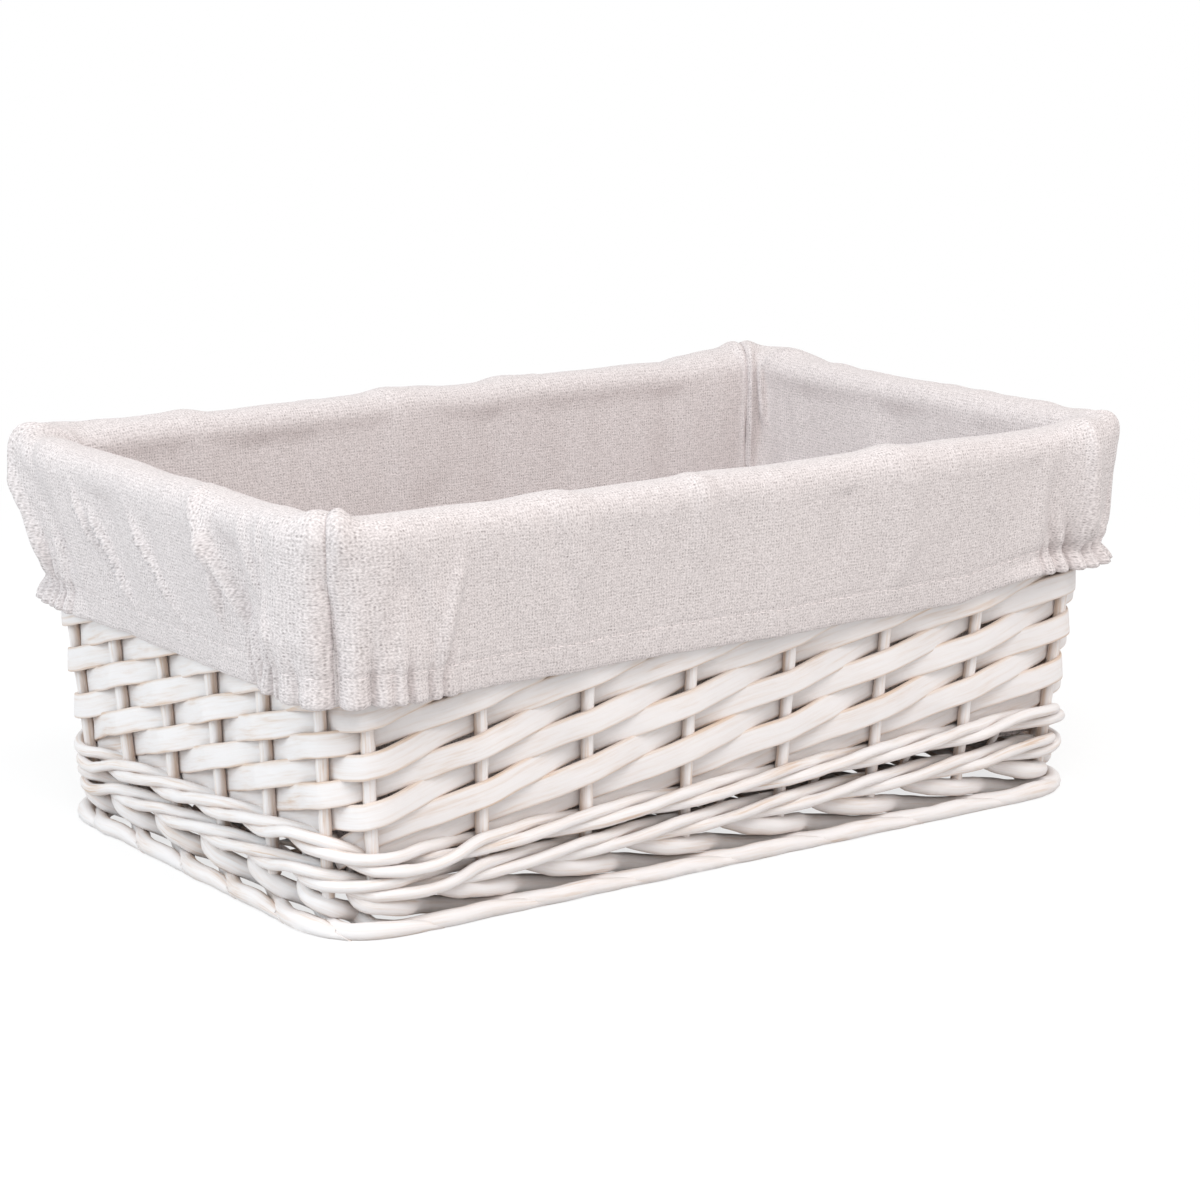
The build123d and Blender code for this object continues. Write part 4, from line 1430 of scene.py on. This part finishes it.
# Whitewash: how far apart the runs lie in the grain, and how streaks, patches and the marked bare edges wear
# it; the bare edges are partly painted shade
RUN_SPREAD = 40.0
LINES_IN_PATCHES = 0.8
LINES_IN_PAINT = 1.3
BARE_EDGE_AND_SHADE_CURVE = 2.0
BARE_EDGE_AND_SHADE = (0.4, 0.5)
PATCH_WEAR = 0.36
MOST_WEAR_AND_SHADE = 0.85
WILLOW_ROUGHNESS = (0.18, 0.5)
WILLOW_BUMP = (0.35, 0.0004)
WILLOW_GLOSS = 0.3

# Thread weave: how slubs follow their threads, how these stray, and how uneven the holes between them are
SLUB_ALONG = 0.25
SLUB_NOISE = (1.3, 2.0)
SLUB_RANGE = (0.36, 0.64)
WEFT_APART = 7.0
STRAY = 1.5
STRAY_NOISE = (0.12, 2.0)
HOLES = (0.95, 0.05)

# Cotton: its fine fibres, the shares of threads, fibres and slubs, and its finish
FIBRES_TO_PITCH = 1.9
FIBRE_DETAIL = 2.0
FIBRE_RANGE = (0.3, 0.7)
THREAD_SHARE = 0.44
FIBRE_SHARE = 0.42
SLUB_SHARE = 0.14
COTTON_ROUGHNESS = (-0.1, 0.95)
COTTON_BUMP = (0.5, 0.0003)
COTTON_SHEEN = (0.15, 0.5)
COTTON_GLOSS = 0.1
SEWING_PITCH = 0.0004
SEWING_ROUGHNESS = 0.8
ELASTIC_PITCH = 0.0008
ELASTIC_BUMP = (0.4, 0.0002)
ELASTIC_ROUGHNESS = 0.75


class Tree:
    """Node tree of a material or a node group."""

    def __init__(self, nodes):
        self.tree = nodes

    def add(self, kind, settings=(), **inputs):
        """Node with its settings, and its inputs by name or, as in_0, by number."""
        made = self.tree.nodes.new(kind)
        for name, value in dict(settings).items():
            setattr(made, name, value)
        for name, value in inputs.items():
            key = int(name[3:]) if name.startswith("in_") else name.replace("_", " ")
            self.feed(made.inputs[key], value)
        return made

    def feed(self, socket, value):
        if isinstance(value, bpy.types.NodeSocket):
            self.tree.links.new(value, socket)
        else:
            socket.default_value = value

    def math(self, operation, *values):
        return self.add("ShaderNodeMath", {"operation": operation},
                        **{f"in_{number}": value for number, value in enumerate(values)}).outputs[0]

    def vector(self, operation, *values):
        made = self.add("ShaderNodeVectorMath", {"operation": operation},
                        **{f"in_{number}": value for number, value in enumerate(values)})
        return made.outputs["Value" if operation == "LENGTH" else "Vector"]

    def noise(self, place_in, scale, detail=3.0, roughness=0.5):
        return self.add("ShaderNodeTexNoise", {"noise_dimensions": "3D"}, Vector=place_in, Scale=scale,
                        Detail=detail, Roughness=roughness).outputs["Fac"]

    def ramp(self, value, low, high):
        """Value spread from 0 at low to 1 at high."""
        return self.add("ShaderNodeMapRange", {"interpolation_type": "SMOOTHSTEP"}, Value=value, From_Min=low,
                        From_Max=high).outputs["Result"]

    def mix(self, factor, first, second):
        """Colour between two colours."""
        made = self.add("ShaderNodeMix", {"data_type": "RGBA", "blend_type": "MIX"})
        self.feed(made.inputs["Factor"], factor)
        for name, value in (("A", first), ("B", second)):
            socket = [s for s in made.inputs if s.name == name and s.type == "RGBA"][0]
            self.feed(socket, (*value, 1.0) if isinstance(value, (tuple, list)) else value)
        return [s for s in made.outputs if s.type == "RGBA"][0]


def group(name, inputs, outputs):
    """New shader node group with its sockets, or None where it has been made."""
    if name in bpy.data.node_groups:
        return None
    made = bpy.data.node_groups.new(name, "ShaderNodeTree")
    for label, kind in inputs:
        made.interface.new_socket(name=label, in_out="INPUT", socket_type=kind)
    for label in outputs:
        made.interface.new_socket(name=label, in_out="OUTPUT", socket_type="NodeSocketFloat")
    return Tree(made)


def grain_group():
    """Streaks along the grain of willow, and larger patches of thin paint."""
    tree = group("Willow grain", (("Grain", "NodeSocketVector"), ("Streak", "NodeSocketFloat")),
                 ("Streaks", "Patches", "Height"))
    if tree:
        entry, leave = tree.add("NodeGroupInput"), tree.add("NodeGroupOutput")
        parts = tree.add("ShaderNodeSeparateXYZ", in_0=entry.outputs["Grain"])
        across = tree.math("DIVIDE", parts.outputs["Y"], entry.outputs["Streak"])
        along = tree.math("MULTIPLY", parts.outputs["X"], STREAKS_ALONG)
        fine = tree.add("ShaderNodeCombineXYZ", X=along, Y=across, Z=parts.outputs["Z"]).outputs[0]
        streaks = tree.noise(fine, *STREAK_NOISE)
        slow = tree.add("ShaderNodeCombineXYZ", X=tree.math("MULTIPLY", parts.outputs["X"], PATCHES_ALONG),
                        Y=tree.math("MULTIPLY", across, PATCH_ACROSS), Z=parts.outputs["Z"]).outputs[0]
        patches = tree.noise(slow, *PATCH_NOISE)
        tree.feed(leave.inputs["Streaks"], tree.ramp(streaks, *STREAK_RANGE))
        tree.feed(leave.inputs["Patches"], tree.ramp(patches, *PATCH_RANGE))
        tree.feed(leave.inputs["Height"], streaks)
    return bpy.data.node_groups["Willow grain"]


def weave_group():
    """Threads of a plain weave, with slubs along both ways of the cloth."""
    tree = group("Thread weave", (("Cloth", "NodeSocketVector"), ("Pitch", "NodeSocketFloat")),
                 ("Threads", "Slubs"))
    if tree:
        entry, leave = tree.add("NodeGroupInput"), tree.add("NodeGroupOutput")
        parts = tree.add("ShaderNodeSeparateXYZ", in_0=entry.outputs["Cloth"])
        pitch = entry.outputs["Pitch"]
        x, y = (tree.math("DIVIDE", parts.outputs[axis], pitch) for axis in ("X", "Y"))
        warp = tree.add("ShaderNodeCombineXYZ", X=x, Y=tree.math("MULTIPLY", y, SLUB_ALONG)).outputs[0]
        weft = tree.add("ShaderNodeCombineXYZ", X=tree.math("MULTIPLY", x, SLUB_ALONG), Y=y,
                        Z=WEFT_APART).outputs[0]
        both = tree.math("ADD", tree.noise(warp, *SLUB_NOISE), tree.noise(weft, *SLUB_NOISE))
        slubs = tree.math("MULTIPLY", both, 0.5)
        shift = tree.noise(tree.add("ShaderNodeCombineXYZ", X=x, Y=y).outputs[0], *STRAY_NOISE)
        x, y = tree.math("MULTIPLY_ADD", shift, STRAY, x), tree.math("MULTIPLY_ADD", shift, -STRAY, y)
        cell = tree.add("ShaderNodeCombineXYZ", X=tree.math("FLOOR", x), Y=tree.math("FLOOR", y)).outputs[0]
        uneven = tree.add("ShaderNodeTexWhiteNoise", {"noise_dimensions": "3D"}, Vector=cell).outputs["Value"]
        wave_x, wave_y = (tree.math("COSINE", tree.math("MULTIPLY", way, 2 * math.pi)) for way in (x, y))
        gaps = [tree.math("MULTIPLY_ADD", wave, -0.5, 0.5) for wave in (wave_x, wave_y)]
        between = tree.math("MULTIPLY", *gaps)
        holes = tree.math("MULTIPLY", between, tree.math("MULTIPLY_ADD", uneven, *HOLES))
        tree.feed(leave.inputs["Threads"], tree.math("SUBTRACT", 1.0, holes))
        tree.feed(leave.inputs["Slubs"], tree.ramp(slubs, *SLUB_RANGE))
    return bpy.data.node_groups["Thread weave"]


def surface(name):
    """New material, its tree and its shader."""
    material = bpy.data.materials.new(name)
    material.use_nodes = True
    tree = Tree(material.node_tree)
    shader = material.node_tree.nodes["Principled BSDF"]
    return material, tree, shader


def grain_place(tree, spread):
    """Place on the piece along and across its grain, set apart for each run by its tint."""
    grain = tree.add("ShaderNodeUVMap", {"uv_map": "grain"}).outputs["UV"]
    tint = tree.add("ShaderNodeAttribute", {"attribute_name": "tint"}).outputs["Fac"]
    shifted = tree.add("ShaderNodeCombineXYZ", Z=tree.math("MULTIPLY", tint, spread)).outputs[0]
    return tree.vector("ADD", grain, shifted), tint


def add_bump(tree, shader, height, strength, distance):
    """Relief on the shader's surface."""
    bump = tree.add("ShaderNodeBump", Height=height, Strength=strength, Distance=distance)
    tree.feed(shader.inputs["Normal"], bump.outputs["Normal"])


def willow_material(kind):
    """Whitewashed willow: thin matt paint with the grain and bare wood showing through, and bare edges that
    are partly painted shade.
    """
    colours = finish()
    streak, bare, thin_paint = WILLOW_KINDS[kind]
    material, tree, shader = surface(f"whitewashed_{kind}")
    where, tint = grain_place(tree, RUN_SPREAD)
    grain = tree.add("ShaderNodeGroup", {"node_tree": grain_group()}, Grain=where, Streak=streak)
    streaks, patches = grain.outputs["Streaks"], grain.outputs["Patches"]
    thin = tree.math("MULTIPLY", patches, tree.math("MULTIPLY_ADD", tint, bare, thin_paint))
    seen = tree.math("MULTIPLY_ADD", thin, LINES_IN_PATCHES, LINES_IN_PAINT * thin_paint)
    lines = tree.math("MULTIPLY", streaks, seen)
    # The edge attribute gives bare tan that is partly painted shade in the crevices.
    edge = tree.add("ShaderNodeAttribute", {"attribute_name": "edge"}).outputs["Fac"]
    bare_edges_and_shade = tree.math("MULTIPLY", tree.math("POWER", edge, BARE_EDGE_AND_SHADE_CURVE),
                       tree.math("MULTIPLY_ADD", patches, *BARE_EDGE_AND_SHADE))
    # Wear of the grain and patches, with the painted shade of the bare edges added.
    wear_and_shade = tree.math("ADD", tree.math("MULTIPLY_ADD", thin, PATCH_WEAR, lines), bare_edges_and_shade)
    wear_and_shade = tree.math("MINIMUM", wear_and_shade, MOST_WEAR_AND_SHADE)
    tree.feed(shader.inputs["Base Color"], tree.mix(wear_and_shade, tuple(colours.whitewash), tuple(colours.willow)))
    tree.feed(shader.inputs["Roughness"], tree.math("MULTIPLY_ADD", streaks, *WILLOW_ROUGHNESS))
    add_bump(tree, shader, grain.outputs["Height"], *WILLOW_BUMP)
    shader.inputs["Specular IOR Level"].default_value = WILLOW_GLOSS
    return material


def cloth_material():
    """Plain-woven unbleached cotton."""
    name = "unbleached_cotton"
    if name in bpy.data.materials:
        return bpy.data.materials[name]
    colours = finish()
    material, tree, shader = surface(name)
    where, _ = grain_place(tree, 0.0)
    pitch = cloth().thread_pitch
    weave = tree.add("ShaderNodeGroup", {"node_tree": weave_group()}, Cloth=where, Pitch=pitch)
    fibres = tree.ramp(tree.noise(where, FIBRES_TO_PITCH / pitch, FIBRE_DETAIL), *FIBRE_RANGE)
    slubs = tree.math("MULTIPLY", weave.outputs["Slubs"], SLUB_SHARE)
    raised = tree.math("MULTIPLY_ADD", fibres, FIBRE_SHARE, slubs)
    raised = tree.math("MULTIPLY_ADD", weave.outputs["Threads"], THREAD_SHARE, raised)
    shade = tree.mix(raised, tuple(colours.cloth_dark), tuple(colours.cloth_light))
    tree.feed(shader.inputs["Base Color"], shade)
    rough = tree.math("MULTIPLY_ADD", weave.outputs["Slubs"], *COTTON_ROUGHNESS)
    tree.feed(shader.inputs["Roughness"], rough)
    add_bump(tree, shader, raised, *COTTON_BUMP)
    for name, value in zip(("Sheen Weight", "Sheen Roughness"), COTTON_SHEEN):
        shader.inputs[name].default_value = value
    shader.inputs["Specular IOR Level"].default_value = COTTON_GLOSS
    return material


def thread_material():
    """Twisted sewing thread."""
    material, tree, shader = surface("sewing_thread")
    where, _ = grain_place(tree, 0.0)
    weave = tree.add("ShaderNodeGroup", {"node_tree": weave_group()}, Cloth=where, Pitch=SEWING_PITCH)
    shade = tree.mix(weave.outputs["Slubs"], tuple(finish().cloth_light), tuple(finish().thread))
    tree.feed(shader.inputs["Base Color"], shade)
    shader.inputs["Roughness"].default_value = SEWING_ROUGHNESS
    return material


def elastic_material():
    """Woven elastic band with fine ribs along it."""
    material, tree, shader = surface("woven_elastic")
    where, _ = grain_place(tree, 0.0)
    weave = tree.add("ShaderNodeGroup", {"node_tree": weave_group()}, Cloth=where, Pitch=ELASTIC_PITCH)
    shade = tree.mix(weave.outputs["Threads"], tuple(finish().cloth_light), tuple(finish().elastic))
    tree.feed(shader.inputs["Base Color"], shade)
    add_bump(tree, shader, weave.outputs["Threads"], *ELASTIC_BUMP)
    shader.inputs["Roughness"].default_value = ELASTIC_ROUGHNESS
    return material


# Stage

# Lamps: place, width and colour. Their powers are settings
LAMPS = {
    "key": ((-0.3, -1.1, 1.58), 1.2, (1.0, 0.99, 0.98)),
    "fill": ((0.7, -1.5, 0.5), 1.2, (1.0, 0.99, 0.98)),
    "side": ((-1.6, 0.0, 0.85), 1.0, (0.78, 0.92, 1.0)),
}
SKY_COLOUR = (1, 0.99, 0.98, 1)
WHITE = (1, 1, 1, 1)
FLOOR_HALF = 6.0
FLOOR_ROUGHNESS = 0.9
FLOOR_FADE = (0.3, 0.8)


class BASKET_OT_stage(bpy.types.Operator):
    """Set up the floor, the light and the camera"""

    bl_idname = "basket.stage"
    bl_label = "Stage"

    def execute(self, context):
        self.floor()
        self.sky()
        stage = context.scene.basket_stage
        for name, (location, size, shade) in LAMPS.items():
            self.lamp(name, location, size, getattr(stage, name), shade)
        self.camera(context.scene)
        context.scene.view_settings.view_transform = "Standard"
        return {"FINISHED"}

    def floor(self):
        corners = [(x * FLOOR_HALF, y * FLOOR_HALF, 0) for x, y in ((-1, -1), (1, -1), (1, 1), (-1, 1))]
        mesh = bpy.data.meshes.new("floor")
        mesh.from_pydata(corners, [], [(0, 1, 2, 3)])
        material, tree, shader = surface("pale_floor")
        settings = bpy.context.scene.basket_stage
        shader.inputs["Roughness"].default_value = FLOOR_ROUGHNESS
        shader.inputs["Specular IOR Level"].default_value = 0.0
        seen = self.seen(tree)
        tree.feed(shader.inputs["Base Color"], tree.mix(seen, tuple(finish().bounce), tuple(finish().floor)))
        white = tree.add("ShaderNodeEmission", Color=WHITE, Strength=1.0)
        away = tree.vector("LENGTH", tree.add("ShaderNodeNewGeometry").outputs["Position"])
        glow = tree.math("MULTIPLY_ADD", tree.ramp(away, *FLOOR_FADE), 1 - settings.floor_glow,
                         settings.floor_glow)
        both = tree.add("ShaderNodeMixShader", in_0=tree.math("MULTIPLY", seen, glow),
                        in_1=shader.outputs["BSDF"], in_2=white.outputs["Emission"])
        output = material.node_tree.nodes["Material Output"]
        tree.feed(output.inputs["Surface"], both.outputs["Shader"])
        mesh.materials.append(material)
        floor = bpy.data.objects.new("floor", mesh)
        bpy.context.scene.collection.objects.link(floor)

    def seen(self, tree):
        """1 for what the camera sees, directly, mirrored or through glass."""
        path = tree.add("ShaderNodeLightPath").outputs
        direct = tree.math("MAXIMUM", path["Is Camera Ray"], path["Is Glossy Ray"])
        return tree.math("MAXIMUM", direct, path["Is Transmission Ray"])

    def sky(self):
        world = bpy.data.worlds.new("studio")
        bpy.context.scene.world = world
        world.use_nodes = True
        tree = Tree(world.node_tree)
        background = world.node_tree.nodes["Background"]
        background.inputs["Color"].default_value = SKY_COLOUR
        background.inputs["Strength"].default_value = bpy.context.scene.basket_stage.sky
        white = tree.add("ShaderNodeBackground", Color=WHITE, Strength=1.0)
        both = tree.add("ShaderNodeMixShader", in_0=self.seen(tree), in_1=background.outputs[0],
                        in_2=white.outputs[0])
        tree.feed(world.node_tree.nodes["World Output"].inputs["Surface"], both.outputs["Shader"])

    def lamp(self, name, location, size, power, shade):
        """Large soft light that faces the basket."""
        light = bpy.data.lights.new(name, "AREA")
        light.shape = "DISK"
        light.size = size
        light.energy = power
        light.color = shade
        lamp = bpy.data.objects.new(name, light)
        lamp.location = location
        lamp.rotation_mode = "QUATERNION"
        lamp.rotation_quaternion = (-lamp.location).to_track_quat("-Z", "Y")
        bpy.context.scene.collection.objects.link(lamp)

    def camera(self, scene):
        settings = scene.basket_stage
        flat = math.cos(settings.elevation)
        back = Vector((math.sin(settings.azimuth) * flat, -math.cos(settings.azimuth) * flat,
                       math.sin(settings.elevation)))
        lens = bpy.data.cameras.new("camera")
        lens.lens = settings.lens
        camera = bpy.data.objects.new("camera", lens)
        camera.location = Vector(settings.target) + back * settings.distance
        camera.rotation_mode = "QUATERNION"
        camera.rotation_quaternion = (-back).to_track_quat("-Z", "Y")
        scene.collection.objects.link(camera)
        scene.camera = camera


# Sidebar and registration

PIECES = (BASKET_OT_weavers, BASKET_OT_stakes, BASKET_OT_foot_border, BASKET_OT_wale, BASKET_OT_base,
          BASKET_OT_liner_panels, BASKET_OT_liner_bottom, BASKET_OT_hem, BASKET_OT_stage)
SETTINGS = {"basket_wicker": BasketWickerSettings, "basket_cloth": BasketClothSettings,
            "basket_finish": BasketFinishSettings, "basket_stage": BasketStageSettings}


class BASKET_PT_sidebar(bpy.types.Panel):
    """Lists the basket's pieces"""

    bl_idname = "BASKET_PT_sidebar"
    bl_label = "Lined Wicker Basket"
    bl_space_type = "VIEW_3D"
    bl_region_type = "UI"
    bl_category = "Basket"

    def draw(self, context):
        for piece in PIECES:
            self.layout.operator(piece.bl_idname)
        for name in SETTINGS:
            settings = getattr(context.scene, name)
            box = self.layout.box()
            for key in settings.__annotations__:
                box.prop(settings, key)


def register():
    for made in (*SETTINGS.values(), *PIECES, BASKET_PT_sidebar):
        bpy.utils.register_class(made)
    for name, settings in SETTINGS.items():
        setattr(bpy.types.Scene, name, PointerProperty(type=settings))


def unregister():
    for name in SETTINGS:
        delattr(bpy.types.Scene, name)
    for made in reversed((*SETTINGS.values(), *PIECES, BASKET_PT_sidebar)):
        bpy.utils.unregister_class(made)


def main():
    register()
    bpy.ops.basket.weavers()
    bpy.ops.basket.stakes()
    bpy.ops.basket.foot_border()
    bpy.ops.basket.wale()
    bpy.ops.basket.base()
    bpy.ops.basket.liner_panels()
    bpy.ops.basket.liner_bottom()
    bpy.ops.basket.hem()
    bpy.ops.basket.stage()


if __name__ == "__main__":
    main()
